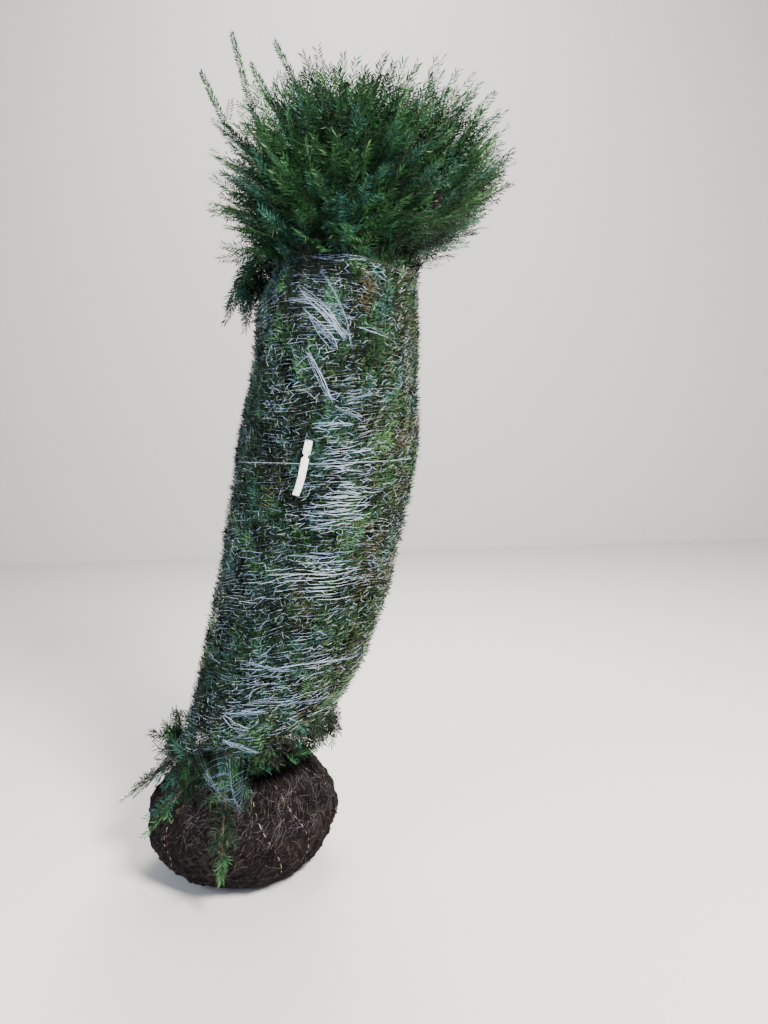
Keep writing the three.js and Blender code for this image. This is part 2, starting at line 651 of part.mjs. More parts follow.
// The blank plant label: a plastic strip with a notched head, lying on the net's front
function label() {
  const length = 150;
  const wide = 10.5;
  const neck = 5;
  const outline = new THREE.Shape();
  outline.moveTo(-wide * 0.9, 0);
  outline.lineTo(wide * 0.9, 0);
  outline.lineTo(wide, 100);
  outline.lineTo(neck, 106);
  outline.lineTo(neck, 109);
  outline.lineTo(wide, 115);
  outline.lineTo(wide * 0.95, length);
  outline.lineTo(-wide, length);
  outline.lineTo(-wide * 1.05, 115);
  outline.lineTo(-neck, 109);
  outline.lineTo(-neck, 106);
  outline.lineTo(-wide, 100);
  outline.closePath();
  const strip = new THREE.ExtrudeGeometry(outline, { depth: 1.4, bevelEnabled: false });
  // stands upright against the front of the net, leaning with its head to the right
  const foot = onNet(1182, degrees(-99.5), 9);
  const head = onNet(1330, degrees(-97), 9);
  const up = head.clone().sub(foot).normalize();
  const out = new THREE.Vector3(-0.18, -1, 0).normalize();
  const across = up.clone().cross(out).normalize();
  const face = across.clone().cross(up);
  const place = new THREE.Matrix4().makeBasis(across, up, face).setPosition(foot);
  return solid(strip.applyMatrix4(place));
}

// Colours, as sRGB
const FINISHES = {
  earth: { color: 0x4a3a2e, roughness: 0.95 },
  bark: { color: 0x6b4a38, roughness: 0.85 },
  needles: { color: 0x2f5a38, roughness: 0.6 },
  net: { color: 0xe9eef2, roughness: 0.45 },
  label: { color: 0xf6f8f7, roughness: 0.5 },
};

function piece(name, made, finish) {
  const { color, roughness } = FINISHES[finish];
  const material = new THREE.MeshStandardMaterial({ color, roughness, metalness: 0 });
  const mesh = new THREE.Mesh(geometryOf(made), material);
  mesh.name = name;
  return mesh;
}

const plant = new THREE.Group();
const trunkCutter = trunk(CLEAR);
plant.add(piece("root_ball", rootBall(), "earth"));
plant.add(piece("trunk", trunk(), "bark"));

// Adds a foliage mass with the bough that carries it
function grow(name, mass, bends, footRadius, tipRadius) {
  plant.add(piece(`bough_${name}`, bough(bends, mass, footRadius, tipRadius), "bark"));
  plant.add(piece(name, joined(mass.parts), "needles"));
}

// A column bough leaves the trunk below its mass and rises along the channel
["low", "middle", "high"].forEach((level, k) => {
  for (let sector = 0; sector < SECTORS; sector++) {
    const { middle, angle } = columnMassPlace(k, sector);
    const bends = [axisAt(middle - 150), around(middle - 80, angle, 34)];
    grow(`column_${level}_${sector + 1}`, columnMass(k, sector), bends, 9, 6);
  }
});

// A crown bough runs up the channel and out through the rim
CROWN_MASSES.forEach((mass, index) => {
  const foot = mass.inner ? 1570 + 35 * (index % 3) : 1180 + 36 * index;
  const angle = degrees(mass.angle);
  const bends = [
    axisAt(foot),
    around(foot + 120, angle, mass.inner ? 22 : 44),
    around(RIM_HEIGHT - 70, angle, mass.inner ? 26 : 44),
  ];
  grow(mass.name, crownMass(mass, index), bends, 8.5, 7);
});

// A skirt bough leaves the foot of the trunk over the top of the ball
SKIRTS.forEach((skirt, index) => {
  const angle = degrees(skirt.angle);
  const middle = new THREE.Vector3(Math.cos(angle) * 80, Math.sin(angle) * 80, 395);
  const bends = [axisAt(BALL_TOP + (index % 2 ? 46 : 28)), middle];
  grow(skirt.name, skirtMass(skirt, index), bends, 7.5, 6);
});

plant.add(piece("net_wrap", net(), "net"));
plant.add(piece("plant_label", label(), "label"));

export default plant;
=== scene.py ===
import functools
import math

import bpy
import numpy as np
from mathutils import Matrix, Vector


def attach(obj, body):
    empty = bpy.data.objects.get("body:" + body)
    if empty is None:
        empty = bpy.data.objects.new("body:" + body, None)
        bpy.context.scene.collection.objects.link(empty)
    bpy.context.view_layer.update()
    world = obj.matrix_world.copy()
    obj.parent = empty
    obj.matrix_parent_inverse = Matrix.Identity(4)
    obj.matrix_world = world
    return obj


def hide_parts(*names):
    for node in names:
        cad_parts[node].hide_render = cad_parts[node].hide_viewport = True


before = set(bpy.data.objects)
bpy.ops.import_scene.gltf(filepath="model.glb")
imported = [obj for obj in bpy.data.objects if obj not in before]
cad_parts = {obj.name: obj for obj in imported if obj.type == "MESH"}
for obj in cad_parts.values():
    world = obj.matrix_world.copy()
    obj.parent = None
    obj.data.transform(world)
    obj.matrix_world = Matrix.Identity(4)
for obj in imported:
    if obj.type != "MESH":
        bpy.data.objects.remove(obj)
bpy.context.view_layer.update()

# The sizes that the frame's solids were grown from
BALL_RADIUS = 0.288
BALL_HALF_HEIGHT = 0.206
FOOT_RADIUS = 0.170
NET_BOTTOM = 0.425
RIM_HEIGHT = 1.812
COLUMN_FOOT_RADIUS = 0.228
COLUMN_BELLY = 0.046
COLUMN_TOP_RADIUS = 0.222
SHOULDER_HEIGHT = 0.150
SHOULDER_IN = 0.2
LEAN_REACH = 0.319
LEAN_BEND = 0.510
LEAN_SLOPE = 0.05
TRUNK_FOOT_RADIUS = 0.023
TRUNK_TIP_HEIGHT = 1.750
TRUNK_RINGS = 230
COLLAR_RADIUS = 0.060
CHANNEL_RADIUS = 0.078
BOUGH_END = 0.030
# The radii of each kind of bough where it leaves the trunk and at its tip
COLUMN_BOUGH, CROWN_BOUGH, SKIRT_BOUGH = (0.009, 0.006), (0.0085, 0.006), (0.0075, 0.0025)
BALL_CENTRE = BALL_HALF_HEIGHT * math.sqrt(1 - (FOOT_RADIUS / BALL_RADIUS) ** 2)
BALL_TOP = BALL_CENTRE + BALL_HALF_HEIGHT * math.sqrt(1 - (COLLAR_RADIUS / BALL_RADIUS) ** 2)
FRONT = np.array([0.0, -1.0, 0.0])
UP = np.array([0.0, 0.0, 1.0])

# Needles and shoots. A needle stands for about two, so it is a little wider than life.
NEEDLE_LENGTH = 0.026
NEEDLE_WIDTH = 0.0034
NEEDLE_STEP = 0.0066
SHOOT_RADIUS = 0.0006
# The radii of the bare stalks that carry the shoots, at their foot
THICK_STALK, CROWN_STALK, PRESSED_STALK = 0.003, 0.0028, 0.002
THIN_STALK, CLUMP_STALK = 0.0018, 0.0014
STALK_FACING = np.array([0.31, 0.17, 0.93])  # a direction that no stalk runs along
WAVE = 0.314  # a wave pattern's scale for one band in a metre

# The seeds of the random draws. The frame's solids were grown by those of OWN and SKIRT.
OWN_SEED, BETWEEN_SEED, FILLING_SEED, CROWN_FINE_SEED = 200, 1200, 1300, 1600
SKIRT_SEED, SKIRT_SPREAD_SEED, SKIRT_FINE_SEED = 300, 1800, 1700
COLUMN_SEED, CROWN_FOOT_SEED, NET_FOOT_SEED = 1100, 1180, 1190
LONG_SHOOT_SEED, HANGING_SEED = 1400, 1500
COLUMN_NEEDLE_SEED, CROWN_NEEDLE_SEED, SKIRT_NEEDLE_SEED = 50, 60, 70
FIBRE_SEED, TWINE_SEED, CRUMB_SEED = 41, 17, 23
ROUNDS_SEED, LINKS_SEED, LAYERS_SEED, RIM_SEED, TAIL_SEED, TURNED_SEED = 5, 6, 8, 9, 10, 12


def unit(v):
    """A vector, or rows of vectors, made one long."""
    v = np.asarray(v, float)
    return v / np.maximum(np.linalg.norm(v, axis=-1, keepdims=True), 1e-9)


def lerp(a, b, t):
    """From a to b by the share t."""
    return a + (b - a) * t


def numbers(seed):
    """A seeded row of numbers from 0 to 1, as the frame's solids were grown by."""
    state = (seed * 7919 + 12345) % 2**32

    def draw():
        nonlocal state
        state = (state * 1664525 + 1013904223) % 2**32
        return state / 2**32

    return draw


def axis_x(z):
    """How far the leaning column's centre is from the ball's, at a height."""
    rise = np.maximum(0, z - BALL_TOP)
    return LEAN_REACH * (1 - np.exp(-rise / LEAN_BEND)) + LEAN_SLOPE * rise


def column_share(z):
    """How far up the wrapped column a height is, from 0 at the net's foot to 1 at its rim."""
    return (z - NET_BOTTOM) / (RIM_HEIGHT - NET_BOTTOM)


def column_radius(z, angle):
    """The wrapped column's radius, with the lobes of the branch bundles under the net and a
    round shoulder at its top."""
    share = np.clip(column_share(z), 0, 1)
    belly = COLUMN_BELLY * np.sin(np.pi * share)
    plain = lerp(COLUMN_FOOT_RADIUS, COLUMN_TOP_RADIUS, share) + belly
    lobes = (
        0.026 * np.cos(3 * angle + z / 0.310)
        + 0.017 * np.cos(5 * angle - z / 0.170 + 1)
        + 0.02 * np.sin(z / 0.088 + 2 * angle)
    )
    under = np.clip(1 + (z - RIM_HEIGHT) / SHOULDER_HEIGHT, 0, 1)
    shoulder = SHOULDER_IN * under**2 * (0.5 - 0.5 * np.cos(angle))
    return plain * (1 + lobes - shoulder)


def around(z, angle, distance):
    """The point at a height, an angle and a distance from the column's centre."""
    z, angle, distance = np.broadcast_arrays(*(np.asarray(v, float) for v in (z, angle, distance)))
    return np.stack([axis_x(z) + np.cos(angle) * distance, np.sin(angle) * distance, z], axis=-1)


def ways_at(angle):
    """The level directions outwards and round at an angle."""
    out = np.array([math.cos(angle), math.sin(angle), 0.0])
    return out, np.array([-out[1], out[0], 0.0])


def ball_radius(z):
    """The plain ball's radius at a height."""
    level = (z - BALL_CENTRE) / BALL_HALF_HEIGHT
    return BALL_RADIUS * math.sqrt(max(0.0, 1 - level * level))


def seen_from_axis(p, z):
    """The distance and the angle of a point from the column's centre at a height."""
    x = p[0] - axis_x(z)
    return math.hypot(x, p[1]), math.atan2(p[1], x)


def turn_from(p, centre_x, angle):
    """How far round a point is from an angle, as seen from a centre on the X axis."""
    offset = math.atan2(p[1], p[0] - centre_x) - angle
    return math.atan2(math.sin(offset), math.cos(offset))


def point_on(points, t):
    """The point a share of the way along a line of points."""
    at = min(max(t * (len(points) - 1), 0.0), len(points) - 1.001)
    k = int(at)
    return lerp(points[k], points[k + 1], at - k)


def smooth_line(points, steps):
    """A smooth line through points, with so many steps between each two."""
    p = np.asarray(points, float)
    p = np.vstack([2 * p[0] - p[1], p, 2 * p[-1] - p[-2]])
    line = []
    for a, b, c, d in zip(p[:-3], p[1:-2], p[2:-1], p[3:]):
        for t in np.arange(steps) / steps:
            line.append(
                0.5 * (2 * b + (c - a) * t + (2 * a - 5 * b + 4 * c - d) * t**2
                       + (3 * b - a - 3 * c + d) * t**3)
            )
    line.append(p[-2])
    return np.array(line)


# Materials


def linear(colour):
    """An sRGB hex colour as linear red, green, blue and alpha."""
    parts = [int(colour[i : i + 2], 16) / 255 for i in (1, 3, 5)]
    return (*[p / 12.92 if p <= 0.04045 else ((p + 0.055) / 1.055) ** 2.4 for p in parts], 1.0)


def node(tree, kind, inputs, stops=(), **settings):
    """Adds a node with its settings and its colour stops. Each input is set, or is linked to a
    socket or to the first output of another node."""
    made = tree.nodes.new("ShaderNode" + kind)
    for name, value in settings.items():
        setattr(made, name, value)
    ramp = made.color_ramp.elements if stops else []
    while len(ramp) < len(stops):
        ramp.new(0.5)
    for element, (place, colour) in zip(ramp, stops):
        element.position, element.color = place, linear(colour)
    for name, value in inputs.items():
        source = value.outputs[0] if isinstance(value, bpy.types.Node) else value
        if isinstance(source, bpy.types.NodeSocket):
            tree.links.new(source, made.inputs[name])
        else:
            made.inputs[name].default_value = source
    return made


def new_finish(name, roughness, specular=0.5, colour=None, pattern=None):
    """A material of one plain colour, or one whose pattern adds nodes for colour and relief."""
    material = bpy.data.materials.new(name)
    material.use_nodes = True
    tree = material.node_tree
    shader = tree.nodes["Principled BSDF"]
    shader.inputs["Roughness"].default_value = roughness
    shader.inputs["Specular IOR Level"].default_value = specular
    if colour:
        shader.inputs["Base Color"].default_value = linear(colour)
    if pattern:
        place = node(tree, "TexCoord", {}).outputs["Object"]
        tint, relief = pattern(functools.partial(node, tree), place)
        tree.links.new(tint, shader.inputs["Base Color"])
        tree.links.new(relief.outputs["Normal"], shader.inputs["Normal"])
    return material


def yew_bark(add, place):
    """Yew bark: thin reddish-brown scales that flake off and leave paler, redder patches."""
    # scales about 9 mm across and 30 mm long, up the stem
    stretched = add("Mapping", {"Vector": place, "Scale": (1 / 0.009, 1 / 0.009, 1 / 0.030)})
    scales = add("TexVoronoi", {"Vector": stretched, "Scale": 1.0}, feature="DISTANCE_TO_EDGE")
    patches = add("TexNoise", {"Vector": stretched, "Scale": 0.6, "Detail": 6.0})
    browns = [(0.30, "#2b1c16"), (0.48, "#5a3b2e"), (0.62, "#7b5140"), (0.78, "#93705c")]
    relief = add("Math", {0: scales, 1: patches}, operation="MULTIPLY")
    return (
        add("ValToRGB", {"Fac": patches}, browns).outputs["Color"],
        add("Bump", {"Height": relief, "Strength": 0.9, "Distance": 0.002}),
    )


def painted_inner_shade(add, place):
    """Painted shade: a dark, matt skin inside the foliage that stands in for its deep shade,
    streaked as old needles and bare twigs lie.
    """
    # streaks about 3 mm wide and 15 mm long, as the needles inside lie
    stretched = add("Mapping", {"Vector": place, "Scale": (1 / 0.003, 1 / 0.003, 1 / 0.015)})
    streaks = add("TexNoise", {"Vector": stretched, "Scale": 1.0, "Detail": 3.0})
    shades = [(0.35, "#050806"), (0.55, "#0e1a10"), (0.72, "#1d2a17"), (0.85, "#33291c")]
    return (
        add("ValToRGB", {"Fac": streaks}, shades).outputs["Color"],
        add("Bump", {"Height": streaks, "Strength": 1.0, "Distance": 0.004}),
    )


def earthy_hessian(add, place):
    """The ball's skin: loose jute hessian pressed into damp earth, so soil fills its weave."""
    # patches of earth 60 mm across, crumbs of 7 mm and grit of 1.5 mm
    patches = add("TexNoise", {"Vector": place, "Scale": 1 / 0.060, "Detail": 5.0})
    crumbs = add(
        "TexNoise", {"Vector": place, "Scale": 1 / 0.007, "Detail": 6.0, "Roughness": 0.7}
    )
    grit = add("TexNoise", {"Vector": place, "Scale": 1 / 0.0015, "Detail": 3.0})
    # the jute's yarns run on the slant; they are 2 mm apart in life and drawn 5 mm apart to show
    turned = add("Mapping", {"Vector": place, "Rotation": (0.35, 0.75, 0.2)})
    yarn = {"Vector": turned, "Scale": WAVE / 0.005, "Distortion": 3.0, "Detail": 2.0,
            "Detail Scale": 1.5}
    warp, weft = (add("TexWave", yarn, bands_direction=way).outputs["Fac"] for way in "XZ")
    weave = add("Math", {0: warp, 1: weft}, operation="MAXIMUM")
    soil = [(0.36, "#030303"), (0.48, "#080708"), (0.60, "#110e0f"), (0.76, "#282224")]
    jute = [(0.30, "#080708"), (0.50, "#141113"), (0.70, "#332e31")]
    bare = add("MapRange", {"Value": patches, "From Min": 0.42, "From Max": 0.62})
    shown = add("Math", {0: bare, 1: weave}, operation="MULTIPLY")
    cloth, earth = add("ValToRGB", {"Fac": grit}, jute), add("ValToRGB", {"Fac": crumbs}, soil)
    mixed = add("Mix", {"Factor": shown, "A": earth, "B": cloth}, data_type="RGBA")
    heights = add("Math", {0: crumbs, 1: shown}, operation="ADD")
    coarse = add("Bump", {"Height": heights, "Strength": 1.0, "Distance": 0.004})
    return (
        mixed.outputs["Result"],
        add("Bump", {"Height": grit, "Strength": 0.7, "Distance": 0.001, "Normal": coarse}),
    )


def rubbed_sheet(add, place):
    """White polypropylene sheet: die cut, satin, with faint rubbed dirt."""
    # smudges about 25 mm across, and the sheet's grain of 1 mm
    smudges = add("TexNoise", {"Vector": place, "Scale": 1 / 0.025, "Detail": 5.0})
    grain = add("TexNoise", {"Vector": place, "Scale": 1 / 0.001})
    whites = [(0.30, "#d9dbd6"), (0.50, "#f2f4f2"), (0.70, "#fbfcfb")]
    return (
        add("ValToRGB", {"Fac": smudges}, whites).outputs["Color"],
        add("Bump", {"Height": grain, "Strength": 0.2, "Distance": 0.0002}),
    )


def laid_plies(add, place):
    """Jute twine: two plies laid together, weathered pale, with earth rubbed into it."""
    # the plies turn once in 5 mm, and stains are about 20 mm long
    ply = {"Vector": place, "Scale": WAVE / 0.005, "Distortion": 1.0}
    plies = add("TexWave", ply, bands_direction="DIAGONAL").outputs["Fac"]
    stains = add("TexNoise", {"Vector": place, "Scale": 1 / 0.020})
    straws = [(0.40, "#5a4c40"), (0.52, "#9c8c74"), (0.68, "#c8bba6")]
    return (
        add("ValToRGB", {"Fac": stains}, straws).outputs["Color"],
        add("Bump", {"Height": plies, "Strength": 0.8, "Distance": 0.001}),
    )


def tones(kind, roughness, specular, **colours):
    """Materials of one kind that differ in nothing but their plain colour."""
    return [new_finish(kind + tone, roughness, specular, colours[tone]) for tone in colours]


# Yew needles: a waxy leaf, satin on top, so each catches a soft highlight. Each spray has one of
# these plain tones, from the darkest, which is mostly painted shade for sprays that lie deep or in
# the shaded parts, to this year's.
CUTICLE = (0.45, 0.22)
NEEDLE_TONES = {
    "deep": "#060f08", "dark": "#0e2815", "mid": "#1f4526", "blue": "#285249",
    "fresh": "#37623a", "bright": "#43673a", "dry": "#3f3b2c",
}
NEEDLES = tones("yew_needle_", *CUTICLE, **NEEDLE_TONES)
TONE = {tone: index for index, tone in enumerate(NEEDLE_TONES)}
# The waxy undersides of needles, paler than their tops; the palest are partly their own colour and
# partly painted sky reflection, and the tan one is painted sunlight
UNDERSIDES = tones(
    "yew_needle_underside_", *CUTICLE,
    pale="#a2b8b6", grey="#5f7a6e", green="#577f49", dusty="#76755c",
)
# The smooth skin of young shoots, green at first and brown from the second year
TWIGS = [
    new_finish("yew_shoot_green", 0.5, colour="#2c4424"),
    new_finish("yew_twig_brown", 0.7, colour="#2e2620"),
]
BARK = new_finish("yew_bark_flaking", 0.82, pattern=yew_bark)
SHADE = new_finish("painted_shade_inner_foliage", 0.95, 0.1, pattern=painted_inner_shade)
HESSIAN = new_finish("jute_hessian_with_earth", 0.96, 0.1, pattern=earthy_hessian)
TWINE = new_finish("jute_twine_weathered", 0.88, pattern=laid_plies)
# Loose plant fibre and crumbs of earth: matt and dry
DRY = (0.9, 0.2)
FIBRE_LOTS = tones(
    "", *DRY, jute_fibre_tan="#382f2f", root_fibre_brown="#1a1515", jute_fibre_grey="#544f58",
    grass_straw_dry="#6a604f",
)
CRUMB_LOTS = tones("earth_crumb_", *DRY, dark="#151112", dry="#352d2c")
# Stretch net of white polyethylene thread: drawn smooth, so it glints along its length. Its tones
# are painted light and shade on the one white thread: bluish greys where it lies in shade, near
# white where it is lit, and a warm tan of painted sunlight on the sun side.
NET_TONES = tones(
    "net_thread_", 0.3, 0.5,
    soiled="#5c6b74", grey="#7990b8", white="#abc6f2", bright="#deebff", dusty="#8b857c",
)
LABEL_SHEET = new_finish("label_polypropylene_white", 0.45, pattern=rubbed_sheet)
# A painted studio floor: pale and even, so it only carries the shadow
FLOOR_PAINT = new_finish("studio_floor_matt_paint", 0.9, 0.1, "#d8d8d6")


# Making meshes


def start_primitive(adder, **settings):
    """Adds a primitive with nothing else selected, and returns its object."""
    bpy.ops.object.select_all(action="DESELECT")
    adder(**settings)
    return bpy.context.object


def use_modifier(piece, kind, **settings):
    """Adds a modifier to a piece with its settings, and applies it."""
    modifier = piece.modifiers.new(kind.lower(), kind)
    for name, value in settings.items():
        setattr(modifier, name, value)
    bpy.context.view_layer.objects.active = piece
    bpy.ops.object.modifier_apply(modifier=modifier.name)


def corners_of(piece):
    """The places of a piece's corners as rows."""
    places = np.empty(len(piece.data.vertices) * 3)
    piece.data.vertices.foreach_get("co", places)
    return places.reshape(-1, 3)


def set_corners(piece, places):
    """Moves a piece's corners to rows of places."""
    piece.data.vertices.foreach_set("co", np.asarray(places, np.float32).ravel())
    piece.data.update()


def dress(piece, name, finishes, nodes=()):
    """Names a finished piece, gives it its materials, and puts it on the frame."""
    piece.name = piece.data.name = name
    for material in finishes:
        piece.data.materials.append(material)
    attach(piece, "root")
    if nodes:
        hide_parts(*nodes)
    return piece


def add_mesh(name, finishes, points, faces, which=None, nodes=(), smooth=False):
    """Adds a dressed piece from rows of points and lots of faces. Each lot has as many corners a
    face as its rows are long, and its material numbers are in the same lot of which."""
    mesh = bpy.data.meshes.new(name)
    points = np.asarray(points, np.float32).reshape(-1, 3)
    corners = np.concatenate([lot.ravel() for lot in faces])
    sizes = np.concatenate([np.full(len(lot), lot.shape[1]) for lot in faces])
    starts = np.concatenate([[0], np.cumsum(sizes)[:-1]])
    mesh.vertices.add(len(points))
    mesh.loops.add(len(corners))
    mesh.polygons.add(len(sizes))
    mesh.vertices.foreach_set("co", points.ravel())
    mesh.loops.foreach_set("vertex_index", corners.astype(np.int32))
    mesh.polygons.foreach_set("loop_start", starts.astype(np.int32))
    if which is not None:
        mesh.polygons.foreach_set("material_index", np.concatenate(which).astype(np.int32))
    mesh.polygons.foreach_set("use_smooth", np.full(len(sizes), smooth))
    mesh.update(calc_edges=True)
    piece = bpy.data.objects.new(name, mesh)
    bpy.context.collection.objects.link(piece)
    dress(piece, name, finishes, nodes)


def tubes(lines, radii, facing, sides=3, closed=False):
    """Thin tubes along many lines of equally many points: their corners and their faces, with
    each open end closed by a cap. facing is a direction that the lines never run along."""
    lines = np.asarray(lines, float)
    count, steps, _ = lines.shape
    if closed:
        tangents = unit(np.roll(lines, -1, axis=1) - np.roll(lines, 1, axis=1))
    else:
        tangents = unit(np.gradient(lines, axis=1))
    across = unit(np.cross(tangents, np.broadcast_to(facing, lines.shape)))
    out = np.cross(across, tangents)
    turns = (2 * np.pi * np.arange(sides) / sides + np.pi / 2)[:, None]
    ring = across[:, :, None] * np.cos(turns) + out[:, :, None] * np.sin(turns)
    radii = np.broadcast_to(radii, (count, steps))[..., None, None]
    corners = (lines[:, :, None] + radii * ring).reshape(-1, 3)
    here = np.arange(count * steps * sides).reshape(count, steps, sides)
    start, ahead = (here, np.roll(here, -1, axis=1)) if closed else (here[:, :-1], here[:, 1:])
    walls = [start, np.roll(start, -1, axis=2), np.roll(ahead, -1, axis=2), ahead]
    caps = [] if closed else [here[:, 0, ::-1], here[:, -1]]
    return corners, [np.stack(walls, axis=-1).reshape(-1, 4), *caps]


def ribbons(lines, width, facing):
    """Flat strips along many lines, turned to face a direction at each point."""
    lines = np.asarray(lines, float)
    count, steps, _ = lines.shape
    tangents = unit(np.gradient(lines, axis=1))
    across = unit(np.cross(tangents, np.broadcast_to(facing, lines.shape)))
    half = np.broadcast_to(width, (count, steps))[..., None] / 2
    corners = np.stack([lines - half * across, lines + half * across], axis=2).reshape(-1, 3)
    here = np.arange(count * steps * 2).reshape(count, steps, 2)
    faces = [here[:, :-1, 0], here[:, :-1, 1], here[:, 1:, 1], here[:, 1:, 0]]
    return corners, [np.stack(faces, axis=-1).reshape(-1, 4)]


# Foliage: shoots are gathered first, and all their needles and twigs are made at once


def shoot(root, along, facing, length, tone, bend=(0, 0, 0), needle=NEEDLE_LENGTH):
    """One shoot: it starts at root along a direction and bends by bend times its length. Its
    needles lie in two ranks across facing."""
    return {
        "root": np.asarray(root, float), "along": unit(along), "facing": unit(facing),
        "length": length, "tone": TONE[tone], "bend": np.asarray(bend, float), "needle": needle,
    }


def of_shoots(shoots, *keys):
    """What the shoots say under each key, as rows."""
    return [np.array([s[key] for s in shoots]) for key in keys]


def places_on(shoots, owner, t):
    """Where points at shares t along their shoots are, and the shoots' directions there."""
    root, along, bend, length = (
        rows[owner] for rows in of_shoots(shoots, "root", "along", "bend", "length")
    )
    t = t[:, None]
    return root + length[:, None] * (t * along + t * t * bend), unit(along + 2 * t * bend)


def needle_corners(shoots, seed):
    """The needles of many shoots: four corners each, and each needle's tone."""
    random = np.random.default_rng(seed)
    length, facing, size, tone = of_shoots(shoots, "length", "facing", "needle", "tone")
    counts = 2 * np.maximum(3, (length / NEEDLE_STEP).astype(int))
    owner = np.repeat(np.arange(len(shoots)), counts)
    order = np.arange(len(owner)) - np.repeat(np.cumsum(counts) - counts, counts)
    share = (order + 1.0) / counts[owner]
    facing = facing[owner]
    foot, along = places_on(shoots, owner, share)
    across = unit(np.cross(along, facing)) * np.where(order % 2, 1, -1)[:, None]
    out = unit(facing - along * np.sum(along * facing, axis=1, keepdims=True))
    jitter = random.normal(size=(len(owner), 4))
    # needles stand off the shoot most at its foot, and are longest at its middle
    splay = np.radians(lerp(64, 36, share) + 7 * jitter[:, 0])[:, None]
    lift = (0.20 + 0.20 * jitter[:, 1])[:, None]
    heading = unit(np.cos(splay) * along + np.sin(splay) * across + lift * out)
    size = size[owner] * (0.72 + 0.28 * np.sin(np.pi * (0.12 + 0.8 * share)))
    size = (size * (1 + 0.1 * jitter[:, 2]))[:, None]
    top = unit(out + 0.8 * jitter[:, 3:4] * across)
    flank = unit(np.cross(heading, top))
    half = NEEDLE_WIDTH / 2
    belly = foot + 0.42 * size * heading + 0.35 * half * top
    kite = [foot, belly + half * flank, foot + size * heading, belly - half * flank]
    return np.stack(kite, axis=1), tone[owner]


def needle_piece(name, shoots, seed, nodes, press=None):
    """All the needles of some shoots as one piece of folded kites, which stands for CAD masses."""
    corners, tone = needle_corners(shoots, seed)
    if press:
        corners = press(corners, seed)
    first = 4 * np.arange(len(corners))[:, None]
    faces = np.stack([first + [0, 1, 2], first + [0, 2, 3]], axis=1).reshape(-1, 3)
    add_mesh(name, NEEDLES, corners, [faces], [np.repeat(tone, 2)], nodes)


def twig_piece(name, shoots, stalks, press=None):
    """The stems of some shoots, and the bare stalks that carry them, as one piece."""
    steps = 3
    owner = np.repeat(np.arange(len(shoots)), steps)
    t = np.tile(np.linspace(0, 1, steps), len(shoots))
    lines = places_on(shoots, owner, t)[0].reshape(-1, steps, 3)
    if press:
        lines = press(lines, 0)
    length, facing = of_shoots(shoots, "length", "facing")
    radii = SHOOT_RADIUS * np.sqrt(length[:, None] / 0.12) * np.linspace(1.0, 0.35, steps)
    corners, faces = tubes(lines, radii, facing[:, None, :])
    more, more_faces = tubes(*(np.array(rows) for rows in zip(*stalks)), STALK_FACING)
    which = [np.full(len(lot), 0) for lot in faces] + [np.full(len(lot), 1) for lot in more_faces]
    faces += [lot + len(corners) for lot in more_faces]
    points = np.vstack([corners, more])
    add_mesh(name, TWIGS, points, faces, which, smooth=True)


def stalk(start, end, radius, way=UP):
    """A bare stalk from a limb to a shoot's root: it leaves along way and bends to its end."""
    start, end = np.asarray(start, float), np.asarray(end, float)
    reach = np.linalg.norm(end - start)
    middle = start + 0.45 * (end - start) + 0.12 * reach * unit(way)
    line = np.array([start, middle, end])
    return line, radius * np.array([1.0, 0.8, 0.6])


def pick(random, weights):
    """A tone by its weight."""
    at = random() * sum(weights.values())
    for tone, weight in weights.items():
        at -= weight
        if at <= 0:
            return tone
    return tone


# How the half-width of a frond runs along it, as in the frame's solids but without their teeth
FROND_ENVELOPE = ([0, 0.15, 0.36, 0.72, 1], [0.45, 0.85, 1.0, 0.75, 0.12])
SIDE_STEP = 0.026  # side shoots are this far apart, left and right in turn
SIDE_SPLAY = math.radians(44)
SIDE_START, SIDE_SPAN = 0.10, 0.78  # the shares of a leader that carry them
LEAST_SIDE = 0.022
# Most side shoots are a tone darker than their leader
SHADED_TONE = {"bright": "fresh", "fresh": "mid", "mid": "dark", "blue": "dark", "dark": "deep"}


def grow_frond(
    shoots, root, direction, facing, length, width, tone, random, space=None, arch=0.0,
    step=SIDE_STEP,
):
    """A frond as a leading shoot with side shoots left and right, a step apart. arch bends it
    outwards."""
    along = unit(direction)
    across = unit(np.cross(along, facing))
    out = np.cross(across, along)
    bend = arch * out + 0.10 * (random() - 0.5) * across + 0.05 * UP
    shoots.append(shoot(root, along, out, length, tone, bend))
    sides = int(length * SIDE_SPAN / step)
    for i in range(sides):
        t = SIDE_START + SIDE_SPAN * (i + 0.6 * random()) / sides
        hand = 1 if i % 2 else -1
        wide = np.interp(min(1, t + 0.2), *FROND_ENVELOPE) * width / 2
        reach = wide / math.sin(SIDE_SPLAY) * (0.8 + 0.3 * random())
        if reach < LEAST_SIDE:
            continue
        foot = root + length * (t * along + t * t * bend)
        heading = math.cos(SIDE_SPLAY) * along + math.sin(SIDE_SPLAY) * hand * across
        heading = unit(heading + (0.30 * random() - 0.1) * out)
        if space and not space(foot + reach * heading):
            reach *= 0.6
            if not space(foot + reach * heading):
                continue
        side_bend = 0.22 * (along - heading)
        side_tone = SHADED_TONE.get(tone, tone) if i % 3 else tone
        shoots.append(shoot(foot, heading, out, reach, side_tone, side_bend, 0.85 * NEEDLE_LENGTH))


def fits(space, root, along, length):
    """Whether a shoot's middle and tip lie in a space."""
    return space(root + along * length) and space(root + along * length * 0.55)


FITTING_SIZES = (1, 0.85, 0.7, 0.55, 0.4)


def fitted_length(space, root, direction, length, sizes=FITTING_SIZES):
    """The largest of some sizes of a shoot that fits a space, or none."""
    along = unit(direction)
    return next((length * size for size in sizes if fits(space, root, along, length * size)), 0.0)


